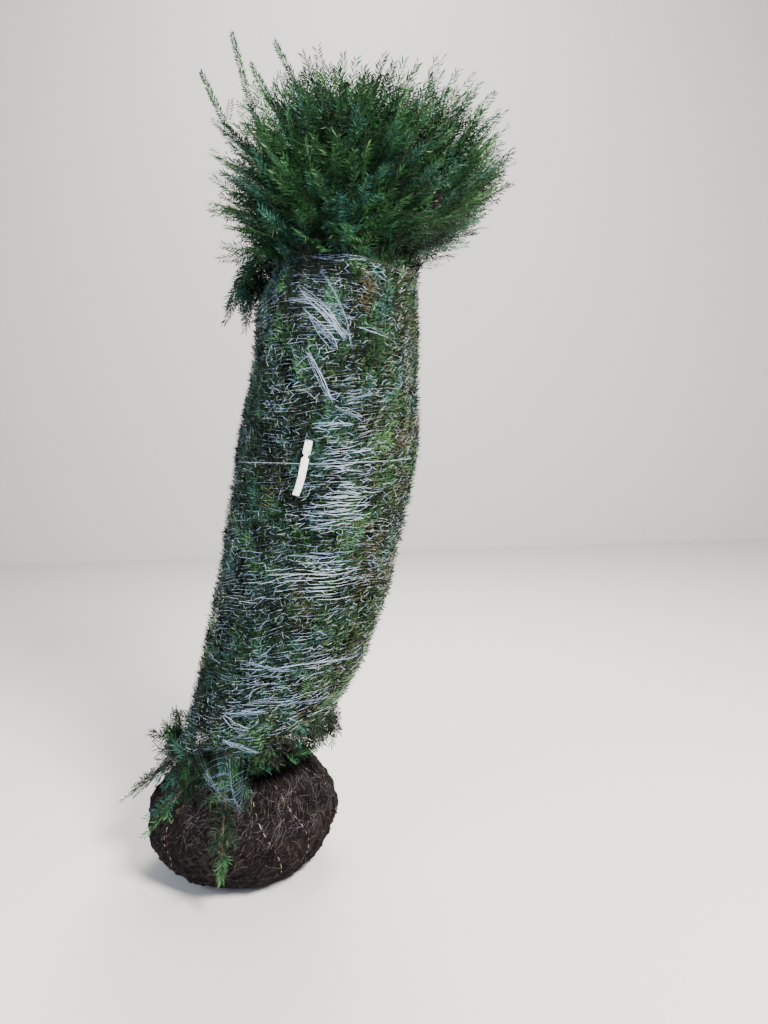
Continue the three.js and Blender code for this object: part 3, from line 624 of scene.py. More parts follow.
# The wrapped column
LEVEL_WORDS = ("low", "middle", "high")
SECTORS = 3
MASS_GAP = 0.007
NEEDLE_DEPTH = 0.018
NET_CLEARANCE = 0.009
PRESSED_ROWS = 15  # sprays up and across each column mass
PRESSED_COLUMNS = 9
PRESSED_WIDTH = 0.085
SUN_SIDE = math.radians(-35)
CORE_DEPTH = 0.036  # how far the shaded inside lies under the column's outside
FOOT_SPRAYS = 110
POKE = 0.0065  # how far needles stand out through the net, most of them
TIP_SHARES = (0.0, 0.4, 1.0, 0.4)  # how much of that each corner of a needle moves


def column_mass_place(level, sector):
    """The middle of a column mass as a height and an angle, its half-height and its half-turn."""
    height = (RIM_HEIGHT + 0.008 - NET_BOTTOM) / len(LEVEL_WORDS)
    middle = NET_BOTTOM + height * (level + 0.5)
    angle = math.radians(-90 + (360 / SECTORS) * sector + 60 * level)
    return middle, angle, height / 2, math.pi / SECTORS


def column_limb(level, sector):
    """The bough of a column mass, from inside the trunk through its stem, as points and radii."""
    middle, angle, _, _ = column_mass_place(level, sector)
    start = around(middle, angle, CHANNEL_RADIUS - 0.006)
    way = unit([math.cos(angle), math.sin(angle), 0.9])
    foot = middle - 0.150
    bends = [
        around(foot, 0, 0), around(middle - 0.080, angle, 0.034), start - BOUGH_END * way,
        start, start + 0.075 * way,
    ]
    return bends, *COLUMN_BOUGH


def column_tones(z, angle, depth):
    """The weights of the tones at a place on the column, with painted light and shade: painted
    sunlight makes the sun side yellower, and lighter higher up, and it is bluer and darker
    elsewhere; deeper sprays, and those under the net's patches, get more of the darkest tone as
    painted shade."""
    painted_sunlight = 0.5 + 0.5 * math.cos(angle - SUN_SIDE)
    browned = math.exp(-(((z - 0.97) / 0.08) ** 2) - ((angle + 0.75) / 0.35) ** 2)
    return {
        "deep": 2.0 + 10 * depth**2 + 5 * net_shows(z, angle), "dark": 3.0, "mid": 2.4,
        "blue": 2.2, "fresh": 0.5 + 0.8 * painted_sunlight, "bright": 0.05 + 0.3 * painted_sunlight * column_share(z),
        "dry": 0.15 + 0.4 * painted_sunlight + 4 * browned,
    }


def grow_column_mass(level, sector, shoots, stalks):
    """A column mass's sprays, pressed upwards by the net, with the tones of their place."""
    middle, angle, half_height, half_turn = column_mass_place(level, sector)
    random = numbers(COLUMN_SEED + level * 10 + sector)
    stem_end = column_limb(level, sector)[0][-1]
    for row, column in np.ndindex(PRESSED_ROWS, PRESSED_COLUMNS):
        rise = (row + 0.1 + 0.8 * random()) / PRESSED_ROWS - 0.5
        z = middle + rise * 2 * half_height - 0.03
        stagger = 0.22 if row % 2 else -0.22
        turn = (column + 0.5 + stagger + 0.6 * (random() - 0.5)) / PRESSED_COLUMNS - 0.5
        a = angle + 1.06 * turn * 2 * half_turn
        out, sideways = ways_at(a)
        depth = random()
        inside = NET_CLEARANCE + lerp(0.4, 1.5, depth) * NEEDLE_DEPTH
        root = around(z, a, column_radius(z, a) - inside)
        slope = (axis_x(z + 0.05) - axis_x(z - 0.05)) / 0.1
        direction = np.array([slope, 0, 1.0]) + 0.1 * out + 1.7 * (random() - 0.5) * sideways
        length = 0.100 + 0.040 * random()
        facing = out + 0.5 * (random() - 0.5) * sideways
        tone = pick(random, column_tones(z, a, depth))
        grow_frond(shoots, root, direction, facing, length, PRESSED_WIDTH, tone, random)
        stalks.append(stalk(stem_end, root, PRESSED_STALK))


def grow_net_foot(shoots, stalks):
    """The ends of the lowest sprays, which hang out below the net, over the ball's shoulder."""
    random = numbers(NET_FOOT_SEED)
    for i in range(FOOT_SPRAYS):
        a = 2 * math.pi * (i + random()) / FOOT_SPRAYS
        out, sideways = ways_at(a)
        z = round_height(0, a) + 0.045 * random()
        root = around(z, a, column_radius(z, a) - 0.020 - 0.030 * random())
        direction = (0.06 + 0.32 * random()) * out + 1.2 * (random() - 0.5) * sideways - UP
        length = 0.065 + 0.050 * random()
        tone = pick(random, SHADED_SKIRT_TONES)
        facing = out + 0.3 * UP
        grow_frond(shoots, root, direction, facing, length, 0.075, tone, random, clear_of_ball)
        stalks.append(stalk(around(z + 0.06, a, 0.12), root, THIN_STALK, -UP))


def clear_of_ball(p):
    """Whether a point is outside the root ball and above the floor."""
    level = (p[2] - BALL_CENTRE) / (BALL_HALF_HEIGHT + BALL_GAP)
    distance = math.hypot(p[0], p[1]) / (BALL_RADIUS * 1.03 + BALL_GAP)
    return level**2 + distance**2 > 1 and p[2] > 0.040


def press_under_net(places, seed):
    """Presses rows of places flat between the shaded inside and the net. The rows are needles,
    whose tips stand out through the net where it is thin, or twigs, which stay under it."""
    random = np.random.default_rng(seed + 1)
    count, steps, _ = places.shape
    x = places[..., 0] - axis_x(places[..., 2])
    angle = np.arctan2(places[..., 1], x)
    distance = np.hypot(x, places[..., 1])
    outside = column_radius(places[..., 2], angle)
    poke = np.minimum(random.exponential(POKE, (count, 1)), 2 * POKE) if seed else 0.0
    poke = poke * lerp(1.7, 0.3, net_shows(places[..., 2], angle))
    out_share = np.array(TIP_SHARES if seed else [0.0] * steps)
    most = outside - 0.003 + (0.003 + poke) * out_share
    least = outside - CORE_DEPTH + 0.006 + 0.010 * random.random((count, 1))
    pressed = np.clip(distance + 0.8 * poke * out_share, least, most)
    rim = np.clip((places[..., 2] - rim_height(angle) - 0.015) / 0.05, 0, 1)
    return around(places[..., 2], angle, lerp(pressed, distance, rim))


# The free crown
CROWN_START = RIM_HEIGHT + 0.026
HEART_BOTTOM = CROWN_START + 0.008
HEART_TOP = 2.150
RING_MASSES = 6
INNER_MASSES = 3
CROWN_SIDES = (-0.359, 0.384)  # no frond reaches further to the front or to the back
CROWN_RIGHT = 0.862  # or further to the right
CROWN_MASSES = [
    {"name": name, "angle": angle, "reach": reach, "lean": lean, "inner": False}
    for name, angle, reach, lean in [
        ("crown_right", 0, 1.48, (1.15, 0.45)),
        ("crown_back_right", 60, 1.1, (1.45, 0.45)),
        ("crown_back_left", 120, 0.98, (1.6, 0.45)),
        ("crown_left", 180, 0.9, (1.7, 0.55)),
        ("crown_front_left", 240, 0.92, (1.5, 0.40)),
        ("crown_front_right", 300, 1.06, (1.3, 0.48)),
    ]
] + [
    {"name": name, "angle": angle, "inner": True}
    for name, angle in [
        ("crown_inner_back", 90), ("crown_inner_left", 210), ("crown_inner_right", 330)
    ]
]
LONG_SHOOTS = [
    ("crown_left", [(0.200, -0.020, 2.080), (0.070, -0.035, 2.215), (0.013, -0.040, 2.350)]),
    ("crown_left", [(0.220, 0.010, 2.100), (0.140, 0.005, 2.270), (0.098, 0.0, 2.466)]),
    ("crown_front_left", [(0.300, -0.120, 2.090), (0.215, -0.120, 2.230), (0.165, -0.125, 2.330)]),
    ("crown_inner_left", [(0.340, -0.030, 2.120), (0.285, -0.050, 2.290), (0.224, -0.060, 2.414)]),
    ("crown_right", [(0.620, -0.020, 2.050), (0.720, -0.020, 2.120), (0.793, -0.020, 2.243)]),
]
FOOT_NEEDLE, LEADER_NEEDLE = 0.019, 0.018  # short needles on the long shoots
CLUMP_FRONDS = 44
HANGING = {
    "mass": "crown_left",
    "stalk": [(0.240, 0.040, 1.895), (0.140, 0.045, 1.882), (0.104, 0.048, 1.820)],
    "middle": np.array([0.098, 0.048, 1.772]),
}


def inner_crown_radius(z):
    """How far the crown's inner masses reach at a height."""
    return 0.062 + 0.16 * max(0.0, z - CROWN_START)


def heart_swell(z):
    """The outside of an outer mass's heart at a height, before its own reach."""
    share = (z - HEART_BOTTOM) / (HEART_TOP - HEART_BOTTOM)
    return 0.168 + 0.092 * np.sin(np.pi * np.maximum(share, 0.0) ** 0.85) - 0.014 * share


def heart_radius(z, mass):
    """The outside of a mass's dense heart at a height."""
    if mass["inner"]:
        return inner_crown_radius(z) - MASS_GAP / 2
    return mass["reach"] * heart_swell(z)


def crown_space(mass, widened):
    """Tells whether a point is in a crown mass's own part of the crown, widened for the finer
    fronds, which mingle with those beside them."""
    angle = math.radians(mass["angle"])
    half_turn = widened * math.pi / (INNER_MASSES if mass["inner"] else RING_MASSES)

    def space(p):
        foot = max(p[2], CROWN_START)
        distance, round_angle = seen_from_axis(p, foot)
        if abs(turn_from(p, axis_x(foot), angle)) > half_turn:
            return False
        if not CROWN_SIDES[0] < p[1] < CROWN_SIDES[1] or p[0] > CROWN_RIGHT:
            return False
        inner = inner_crown_radius(p[2])
        if mass["inner"]:
            return p[2] > CROWN_START and (distance < inner or p[2] > HEART_TOP + 0.004)
        rim = column_radius(min(p[2], RIM_HEIGHT), round_angle) + 0.022
        return (
            (p[2] > CROWN_START or distance > rim)
            and (p[2] < HEART_TOP + 0.004 or distance > inner_crown_radius(HEART_TOP))
            and distance > inner
        )

    return space


def crown_limb(mass, index):
    """The bough of a crown mass: it runs up the channel and out through the rim to its stem."""
    angle = math.radians(mass["angle"])
    inner = mass["inner"]
    foot = 1.570 + 0.035 * (index % 3) if inner else 1.180 + 0.036 * index
    start = around(CROWN_START, angle, 0.030 if inner else 0.066)
    outward, _ = ways_at(angle)
    way = unit(np.array([LEAN_SLOPE, 0, 1]) + (0 if inner else 0.7) * outward)
    bends = [
        around(foot, 0, 0),
        around(foot + 0.120, angle, 0.022 if inner else 0.044),
        around(RIM_HEIGHT - 0.070, angle, 0.026 if inner else 0.044),
        start - BOUGH_END * way, start, start + (0.060 if inner else 0.100) * way,
    ]
    return bends, *CROWN_BOUGH


OUTER_TONES = {"dark": 1.5, "mid": 2.8, "blue": 2.8, "fresh": 3.2, "bright": 0.25, "deep": 0.8}
# The lots of fronds on a crown mass: the solids' own, finer ones between them, and ones from
# deep inside that fill it. Each has its seed, its rows and columns on an outer and on an inner
# mass, its least length and what chance adds, how deep in the heart it starts and what chance
# adds to that, and its tones.
CROWN_LOTS = [
    (OWN_SEED, (4, 1), (3, 4), (0.165, 0.050), (0.034, 0), OUTER_TONES),
    (BETWEEN_SEED, (11, 3), (9, 5), (0.130, 0.100), (0.040, 0.03), OUTER_TONES),
    # The filling lot takes only the darkest tones, as painted shade deep inside the crown
    (FILLING_SEED, (6, 1), (5, 3), (0.110, 0.060), (0.080, 0.06), {"deep": 3, "dark": 1.5}),
]
FEATHER_STEP = 0.032  # side shoots on the crown's fronds are this far apart
FROND_WIDTH = 0.66  # of a frond's length
RIM_SPRAYS = 64


def grow_crown_mass(mass, index, shoots, stalks):
    """The mass's fronds from the solids' own rule, and then finer ones between them."""
    angle = math.radians(mass["angle"])
    inner = mass["inner"]
    half_turn = math.pi / (INNER_MASSES if inner else RING_MASSES)
    stem_end = crown_limb(mass, index)[0][-1]
    fine = numbers(CROWN_FINE_SEED + index)
    for seed, rows, columns, lengths, depths, tones in CROWN_LOTS:
        random = numbers(seed + index)
        own = seed == OWN_SEED
        space = crown_space(mass, 1.0 if own else 1.3)
        rows, columns = rows[inner], columns[inner]
        half_width = (0.85 if own else 1.1) * half_turn
        if not own and not inner:
            columns = round(columns * mass["reach"])
        for row, column in np.ndindex(rows, columns):
            rise = 1 if inner else (row + 0.25 + 0.5 * random()) / rows
            z = lerp(HEART_BOTTOM, HEART_TOP, rise) - 0.012
            stagger = 0.15 if row % 2 else -0.15
            a = angle + ((column + 0.5 + stagger) / columns * 2 - 1) * half_width
            out, sideways = ways_at(a)
            outside = heart_radius(z, mass)
            depth = depths[0] + depths[1] * fine()
            if inner:
                depth = outside * 0.6 * random() + 0.020
            root = around(z, a, max(0.02, outside - depth))
            tilt = 0.15 if inner else lerp(*mass["lean"], rise**0.8)
            if not own:
                tilt += 0.5 * (fine() - 0.5)
            direction = np.array([LEAN_SLOPE, 0, math.cos(tilt)]) + math.sin(tilt) * out
            direction = direction + 0.5 * (random() - 0.5) * sideways
            # every other one of the solids' fronds stands on edge
            on_edge = own and (row + column) % 2
            facing = sideways if on_edge else out - (0.5 if own else 0.3) * UP
            facing = facing + 0.6 * (random() - 0.5) * sideways
            length = lengths[0] + lengths[1] * random()
            if inner and not own:
                length *= 0.75
            length = fitted_length(space, root, direction, length)
            if not length:
                continue
            tone = pick(fine, tones)
            grow_frond(
                shoots, root, direction, facing, length, length * FROND_WIDTH, tone, fine, space,
                arch=0.12, step=FEATHER_STEP,
            )
            stalks.append(stalk(stem_end, root, CROWN_STALK))
    for name, through in LONG_SHOOTS:
        if name == mass["name"]:
            grow_long_shoot(through, shoots, stalks, numbers(LONG_SHOOT_SEED + index))
    if mass["name"] == HANGING["mass"]:
        grow_hanging_clump(shoots, stalks)


def grow_crown_foot(halves, stalks):
    """Short sprays that fill the crown's foot, down to the net's rim."""
    random = numbers(CROWN_FOOT_SEED)
    for i in range(RIM_SPRAYS):
        a = 2 * math.pi * (i + random()) / RIM_SPRAYS
        out, sideways = ways_at(a)
        z = rim_height(a) + 0.010 + 0.060 * random()
        inward = lerp(0.6, 0.95, random()) * column_radius(RIM_HEIGHT, a)
        root = around(z, a, inward)
        direction = (0.3 + 0.8 * random()) * out + 1.1 * (random() - 0.5) * sideways + 0.8 * UP
        length = 0.080 + 0.050 * random()
        shoots = halves["left" if out[0] < 0 else "right"]
        tone = pick(random, OUTER_TONES)
        grow_frond(shoots, root, direction, out + 0.2 * UP, length, 0.07, tone, random)
        stalks.append(stalk(around(z - 0.05, a, 0.10), root, THIN_STALK))


def grow_long_shoot(through, shoots, stalks, random):
    """A single leader that stands clear: bare at its foot, with short needles held close."""
    root, bend, tip = (np.array(at) for at in through)
    stalks.append(stalk(root, bend, THICK_STALK, bend - root))
    length = np.linalg.norm(tip - bend)
    across = unit(np.cross(tip - bend, FRONT))
    for facing in (FRONT, FRONT + across, FRONT - across):
        foot_length = np.linalg.norm(bend - root)
        shoots.append(shoot(root, bend - root, facing, foot_length, "dark", needle=FOOT_NEEDLE))
        shoots.append(shoot(bend, tip - bend, facing, length, "mid", needle=LEADER_NEEDLE))
    for i in range(4):
        foot = lerp(root, bend, 0.45 + 0.17 * i)
        heading = unit(tip - bend) + (0.7 if i % 2 else -0.7) * across
        reach = 0.045 + 0.03 * random()
        shoots.append(shoot(foot, heading, FRONT, reach, "mid", needle=LEADER_NEEDLE))


def grow_hanging_clump(shoots, stalks):
    """The clump that hangs outside the rim on the left: fronds that droop all down its stalk."""
    random = numbers(HANGING_SEED)
    line = smooth_line([np.array(at) for at in HANGING["stalk"]] + [HANGING["middle"]], 6)
    stalks.extend(stalk(a, b, THICK_STALK, b - a) for a, b in zip(line[:-1], line[1:]))
    for i in range(CLUMP_FRONDS):
        share = (i + random()) / CLUMP_FRONDS
        spot = point_on(line, 0.1 + 0.9 * share**0.7)
        around_spot = unit([random() - 0.5, random() - 0.5, 0.6 * random() - 0.2])
        root = spot + lerp(0.020, 0.030, share) * around_spot
        heading = np.array([0.08, 0, -1.0]) + 0.45 * around_spot
        length = 0.090 + 0.055 * random()
        tone = pick(random, SHADED_SKIRT_TONES)
        facing = FRONT + 0.5 * around_spot
        grow_frond(shoots, root, heading, facing, length, 0.055, tone, random)
        stalks.append(stalk(spot, root, CLUMP_STALK))


# The skirt of low branches, draped over the ball
SKIRT_START_RADIUS = 0.168
SKIRT_START_HEIGHT = 0.388
SKIRT_CEILING = NET_BOTTOM - 0.006
SKIRT_STEPS = 5
SPREAD_SHOOTS = 44
DRAPE_STEP = 0.030  # side shoots on the skirts are this far apart
BALL_GAP = 0.005
SKIRT_FIELDS = ("name", "angle", "spread", "rise", "low", "off", "shoots", "length")
SKIRTS = [
    dict(zip(SKIRT_FIELDS, row))
    for row in [
        ("skirt_left", 183, 24, 0.040, 0.225, 1.07, 8, 0.142),
        ("skirt_front_left", 231, 22, 0.030, 0.240, 1.03, 8, 0.130),
        ("skirt_front", 269, 15, 0.0, 0.140, 1.0, 8, 0.095),
        ("skirt_front_right", 318, 30, 0.0, 0.350, 1.0, 6, 0.100),
        ("skirt_right", 20, 28, 0.0, 0.330, 1.0, 6, 0.100),
        ("skirt_back_right", 73, 22, 0.0, 0.270, 1.0, 6, 0.110),
        ("skirt_back_left", 125, 26, 0.020, 0.250, 1.03, 7, 0.130),
    ]
]


def skirt_line(skirt):
    """The line that a skirt follows over the ball's shoulder and down its side."""
    angle = math.radians(skirt["angle"])
    outward, _ = ways_at(angle)
    points = []
    for i in range(SKIRT_STEPS + 1):
        t = i / SKIRT_STEPS
        fall = lerp(SKIRT_START_HEIGHT, skirt["low"] + 0.050, t**1.7)
        z = fall + skirt["rise"] * math.sin(math.pi * min(1, 1.6 * t))
        clear = (ball_radius(max(z, BALL_CENTRE)) + 0.026) * (skirt["off"] if i else 1)
        distance = max(SKIRT_START_RADIUS + 0.062 * t, clear if i else 0)
        points.append(outward * distance + z * UP)
    return np.array(points)


def skirt_limb(skirt, index):
    """The bough of a skirt and its long drooping stem."""
    angle = math.radians(skirt["angle"])
    foot = BALL_TOP + (0.046 if index % 2 else 0.028)
    over = np.array([math.cos(angle) * 0.080, math.sin(angle) * 0.080, 0.395])
    line = skirt_line(skirt)
    way = unit(line[1] - line[0])
    return [around(foot, 0, 0), over, line[0] - BOUGH_END * way, *line], *SKIRT_BOUGH


def skirt_space(skirt):
    """Tells whether a point is in a skirt's own space, clear of the ball and of the net."""
    angle = math.radians(skirt["angle"])

    def space(p):
        from_axis, round_angle = seen_from_axis(p, p[2])
        clear_of_net = p[2] < SKIRT_CEILING or from_axis > column_radius(p[2], round_angle) + 0.014
        return (
            clear_of_ball(p) and clear_of_net and p[2] < NET_BOTTOM + 0.090
            and math.hypot(p[0], p[1]) > SKIRT_START_RADIUS - 0.008
            and abs(turn_from(p, 0, angle)) < math.radians(skirt["spread"]) + 0.03
        )

    return space


# Painted shade: the skirt, the sprays that hang below the net and the hanging clump lie in shade,
# so these weights favour the darkest tones
SHADED_SKIRT_TONES = {"dark": 3.4, "mid": 1.4, "blue": 1.2, "fresh": 0.3, "bright": 0.02, "deep": 4.5}


def grow_skirt(skirt, index, shoots, stalks):
    """A skirt's shoots by the solids' own rule, and then finer ones spread across its drape."""
    angle = math.radians(skirt["angle"])
    outward, side = ways_at(angle)
    points = skirt_line(skirt)
    fine = numbers(SKIRT_FINE_SEED + index)
    space = skirt_space(skirt)
    facing = outward + 0.6 * UP
    lots = [
        (SKIRT_SEED, skirt["shoots"], skirt["length"], 0.0),
        (SKIRT_SPREAD_SEED, SPREAD_SHOOTS, 0.75 * skirt["length"], 1.0),
    ]
    for seed, count, size, spread in lots:
        random = numbers(seed + index)
        for i in range(count):
            t = ((i + 0.5) / count) ** (2.4 if spread else 1.0)
            heading = unit(point_on(points, t + 0.1) - point_on(points, t - 0.1))
            hand = 1 if i % 2 else -1
            last = i == count - 1
            turn = 0 if last else hand * (0.7 + 0.5 * random()) * (1.3 - t)
            direction = heading + turn * side + 0.12 * random() * outward
            # the finer lot starts all across the drape, and higher in it
            aside = spread * (fine() - 0.5) * math.radians(skirt["spread"]) * (1.1 - t)
            at = point_on(points, t)
            root = at + aside * 2 * np.hypot(at[0], at[1]) * side
            root = root + spread * 0.012 * fine() * outward
            size_here = size * lerp(1.0, 0.6 if spread else 1.0, t)
            length = fitted_length(space, root, direction, size_here, (*FITTING_SIZES, 0.3))
            if not length:
                continue
            tone = pick(fine, SHADED_SKIRT_TONES)
            if last and not spread:
                tone = "fresh"
            width = length * lerp(0.75, 0.45, t)
            grow_frond(
                shoots, root, direction, facing, length, width, tone, fine, space, step=DRAPE_STEP
            )
            if spread:
                stalks.append(stalk(point_on(points, max(0, t - 0.12)), root, THIN_STALK))


# Limbs, cores and the ball


def bark_limb(lines):
    """Round limbs along smooth lines, as one mesh with closed ends. Each line has its points,
    and the radius at each point."""
    curve = bpy.data.curves.new("limbs", "CURVE")
    curve.dimensions = "3D"
    curve.bevel_depth = 1.0
    curve.bevel_resolution = 4
    curve.use_fill_caps = True
    for points, radii in lines:
        spline = curve.splines.new("POLY")
        spline.points.add(len(points) - 1)
        for target, point, radius in zip(spline.points, points, radii):
            target.co = (*point, 1.0)
            target.radius = radius
    limb = bpy.data.objects.new("limbs", curve)
    bpy.context.collection.objects.link(limb)
    bpy.ops.object.select_all(action="DESELECT")
    limb.select_set(True)
    bpy.context.view_layer.objects.active = limb
    bpy.ops.object.convert(target="MESH")
    return bpy.context.object


def roughen(piece, name, kind, size, depth, level=0.5, group="", **settings):
    """Pushes a piece's outside in and out by a pattern of some size."""
    texture = bpy.data.textures.new(name, kind)
    texture.noise_scale = size
    for key, value in settings.items():
        setattr(texture, key, value)
    use_modifier(
        piece, "DISPLACE", texture=texture, strength=depth, mid_level=level, vertex_group=group
    )


def make_trunk():
    """The trunk from its flare on the ball's collar to its tip, with flaking bark in relief."""
    foot = BALL_TOP + 0.0003  # a hair off the collar, so that the two don't share a face
    z = lerp(foot, TRUNK_TIP_HEIGHT, np.linspace(0, 1, TRUNK_RINGS) ** 1.25)
    share = (z - BALL_TOP) / (TRUNK_TIP_HEIGHT - BALL_TOP)
    flare = 0.015 * np.exp(-np.maximum(0, z - BALL_TOP) / 0.028)
    trunk = bark_limb([(around(z, 0, 0), TRUNK_FOOT_RADIUS * (1 - 0.68 * share) + flare)])
    use_modifier(trunk, "SUBSURF", levels=1, render_levels=1)
    roughen(trunk, "bark_ridges", "MUSGRAVE", 0.035, 0.004)
    roughen(trunk, "bark_scales", "VORONOI", 0.012, 0.0022)
    places = corners_of(trunk)
    # the roots' ridges spread the foot a little, and its cut stays flat
    low = np.exp(-np.maximum(0, places[:, 2] - BALL_TOP) / 0.030)
    x = places[:, 0] - axis_x(places[:, 2])
    ridges = 1 + 0.12 * low * np.cos(5 * np.arctan2(places[:, 1], x))
    places[:, 0] += x * (ridges - 1)
    places[:, 1] *= ridges
    places[:, 2] = np.maximum(places[:, 2], foot)
    set_corners(trunk, places)
    trunk.data.shade_smooth()
    dress(trunk, "trunk_bark", [BARK], ["trunk"])


def make_boughs():
    """Every bough with the stem that it becomes inside its mass."""
    limbs = {
        f"bough_column_{word}_{sector + 1}": column_limb(level, sector)
        for level, word in enumerate(LEVEL_WORDS)
        for sector in range(SECTORS)
    }
    for rows, limb_of in ((CROWN_MASSES, crown_limb), (SKIRTS, skirt_limb)):
        limbs.update((f"bough_{row['name']}", limb_of(row, i)) for i, row in enumerate(rows))
    lines = []
    for bends, foot, tip in limbs.values():
        line = smooth_line(bends, 8)
        lines.append((line, np.linspace(foot, tip, len(line))))
    boughs = bark_limb(lines)
    roughen(boughs, "bough_scales", "VORONOI", 0.010, 0.0014)
    boughs.data.shade_smooth()
    dress(boughs, "boughs_bark", [BARK], list(limbs))


def ringed_core(name, low, high, rings, radius_at):
    """A closed core from a ring that is drawn up in equal steps, each ring widened to radius_at
    of its height and angle, with a rough outside."""
    core = start_primitive(
        bpy.ops.mesh.primitive_circle_add, vertices=96, radius=1.0, fill_type="NGON",
        location=(0, 0, 0),
    )
    heights = np.linspace(low, high, rings)
    bpy.ops.object.mode_set(mode="EDIT")
    bpy.ops.mesh.select_all(action="SELECT")
    bpy.ops.transform.translate(value=(0, 0, heights[0]))
    for step in np.diff(heights):
        bpy.ops.mesh.extrude_region_move(TRANSFORM_OT_translate={"value": (0, 0, step)})
    bpy.ops.mesh.select_all(action="SELECT")
    bpy.ops.mesh.normals_make_consistent(inside=False)
    bpy.ops.object.mode_set(mode="OBJECT")
    places = corners_of(core)
    angle = np.arctan2(places[:, 1], places[:, 0])
    set_corners(core, around(places[:, 2], angle, radius_at(places[:, 2], angle)))
    roughen(core, name + "_tufts", "CLOUDS", 0.03, 0.022)
    core.data.shade_smooth()
    dress(core, name, [SHADE])


def column_core_radius(z, angle):
    """Well under the column's outside, and drawn in at both ends."""
    ends = np.clip(np.minimum(z - NET_BOTTOM - 0.005, RIM_HEIGHT + 0.02 - z) / 0.05, 0, 1)
    return (column_radius(z, angle) - CORE_DEPTH) * np.sqrt(0.35 + 0.65 * ends)


def crown_core_radius(z, angle):
    """Two thirds of the way to the hearts' outside, with the reach of the masses blended round
    the crown, and rounded off at its top."""
    ring = [mass for mass in CROWN_MASSES if not mass["inner"]]
    sides = np.radians([mass["angle"] for mass in ring] + [360])
    reaches = [mass["reach"] for mass in ring] + [ring[0]["reach"]]
    reach = np.interp(np.mod(angle, 2 * np.pi), sides, reaches)
    swell = heart_swell(np.clip(z, HEART_BOTTOM, HEART_TOP))
    return 0.68 * reach * swell * np.sqrt(np.clip((HEART_TOP - 0.01 - z) / 0.08, 0.04, 1))


def make_root_ball():
    """The ball: a globe cut flat at its foot and collar, lumpy, creased and crumbly."""
    ball = start_primitive(bpy.ops.mesh.primitive_ico_sphere_add, subdivisions=6, radius=1.0)
    size = (BALL_RADIUS, BALL_RADIUS, BALL_HALF_HEIGHT)
    bpy.ops.object.mode_set(mode="EDIT")
    bpy.ops.mesh.select_all(action="SELECT")
    bpy.ops.transform.resize(value=size, center_override=(0, 0, 0))
    bpy.ops.transform.translate(value=(0, 0, BALL_CENTRE))
    for height, cut in ((0.0, {"clear_inner": True}), (BALL_TOP, {"clear_outer": True})):
        bpy.ops.mesh.select_all(action="SELECT")
        bpy.ops.mesh.bisect(plane_co=(0, 0, height), plane_no=(0, 0, 1), use_fill=True, **cut)
        bpy.ops.mesh.inset(thickness=0.012)
        bpy.ops.mesh.poke()
    bpy.ops.object.mode_set(mode="OBJECT")
    # the lumps of the frame's root ball
    places = corners_of(ball)
    level = (places[:, 2] - BALL_CENTRE) / BALL_HALF_HEIGHT
    angle = np.arctan2(places[:, 1], places[:, 0])
    lumps = (
        0.016 * np.cos(4 * angle + 5 * level)
        + 0.012 * np.sin(7 * angle - 6 * level)
        + 0.01 * np.cos(11 * angle + 9 * level)
    )
    places[:, :2] *= (1 + np.sqrt(np.maximum(0, 1 - level * level)) * lumps)[:, None]
    set_corners(ball, places)
    use_modifier(ball, "SUBSURF", levels=1, render_levels=1, subdivision_type="SIMPLE")
    sides = ball.vertex_groups.new(name="sides")
    for index, place in enumerate(corners_of(ball)):
        sides.add([index], min(1.0, max(0.0, (place[2] - 0.004) / 0.035)), "REPLACE")
    for name, kind, width, depth, settings in (
        ("earth_swells", "CLOUDS", 0.10, 0.014, {}),
        ("cloth_creases", "MUSGRAVE", 0.045, 0.007, {"musgrave_type": "RIDGED_MULTIFRACTAL"}),
        ("earth_clods", "VORONOI", 0.016, 0.006, {}),
        ("earth_crumbs", "CLOUDS", 0.006, 0.004, {}),
    ):
        roughen(ball, name, kind, width, depth, 0.55, "sides", **settings)
    places = corners_of(ball)
    places[:, 2] = np.maximum(places[:, 2], 0.0)
    set_corners(ball, places)
    ball.vertex_groups.clear()
    ball.data.shade_smooth()
    return dress(ball, "root_ball_hessian", [HESSIAN], ["root_ball"])


def on_ball(ball, angle, level, lift):
    """Points on the ball's real outside, at angles round it and levels from -1 to 1, lifted off
    it, and the directions in which they lie from its centre."""
    belt = np.sqrt(np.maximum(0, 1 - level * level))
    ways = np.stack(
        [np.cos(angle) * belt * BALL_RADIUS, np.sin(angle) * belt * BALL_RADIUS,
         level * BALL_HALF_HEIGHT],
        axis=-1,
    )
    centre = Vector((0, 0, BALL_CENTRE))
    found = []
    for direction in ways.reshape(-1, 3):
        way = Vector(direction).normalized()
        hit, place, _, _ = ball.ray_cast(centre + way * 0.6, -way)
        found.append(place if hit else centre + way * 0.2)
    lifted = np.array(found).reshape(ways.shape) + unit(ways) * np.asarray(lift)[..., None]
    return lifted, ways


FIBRES = 8000
FIBRE_STEPS = 4
FIBRE_LENGTHS = (0.008, 0.055)
FIBRE_WIDTHS = (0.0003, 0.0010)
FIBRE_SHARES = [0.42, 0.45, 0.07, 0.06]
# The side of the ball where grey fibres are gathered as a painted highlight
HIGHLIGHT_SIDE = math.radians(-50)
TWINE_RUNS = 11
TWINE_STEPS = 90
TWINE_RADIUS = 0.0007
CRUMBS = 420
CRUMB_SIZES = (0.0018, 0.0055)


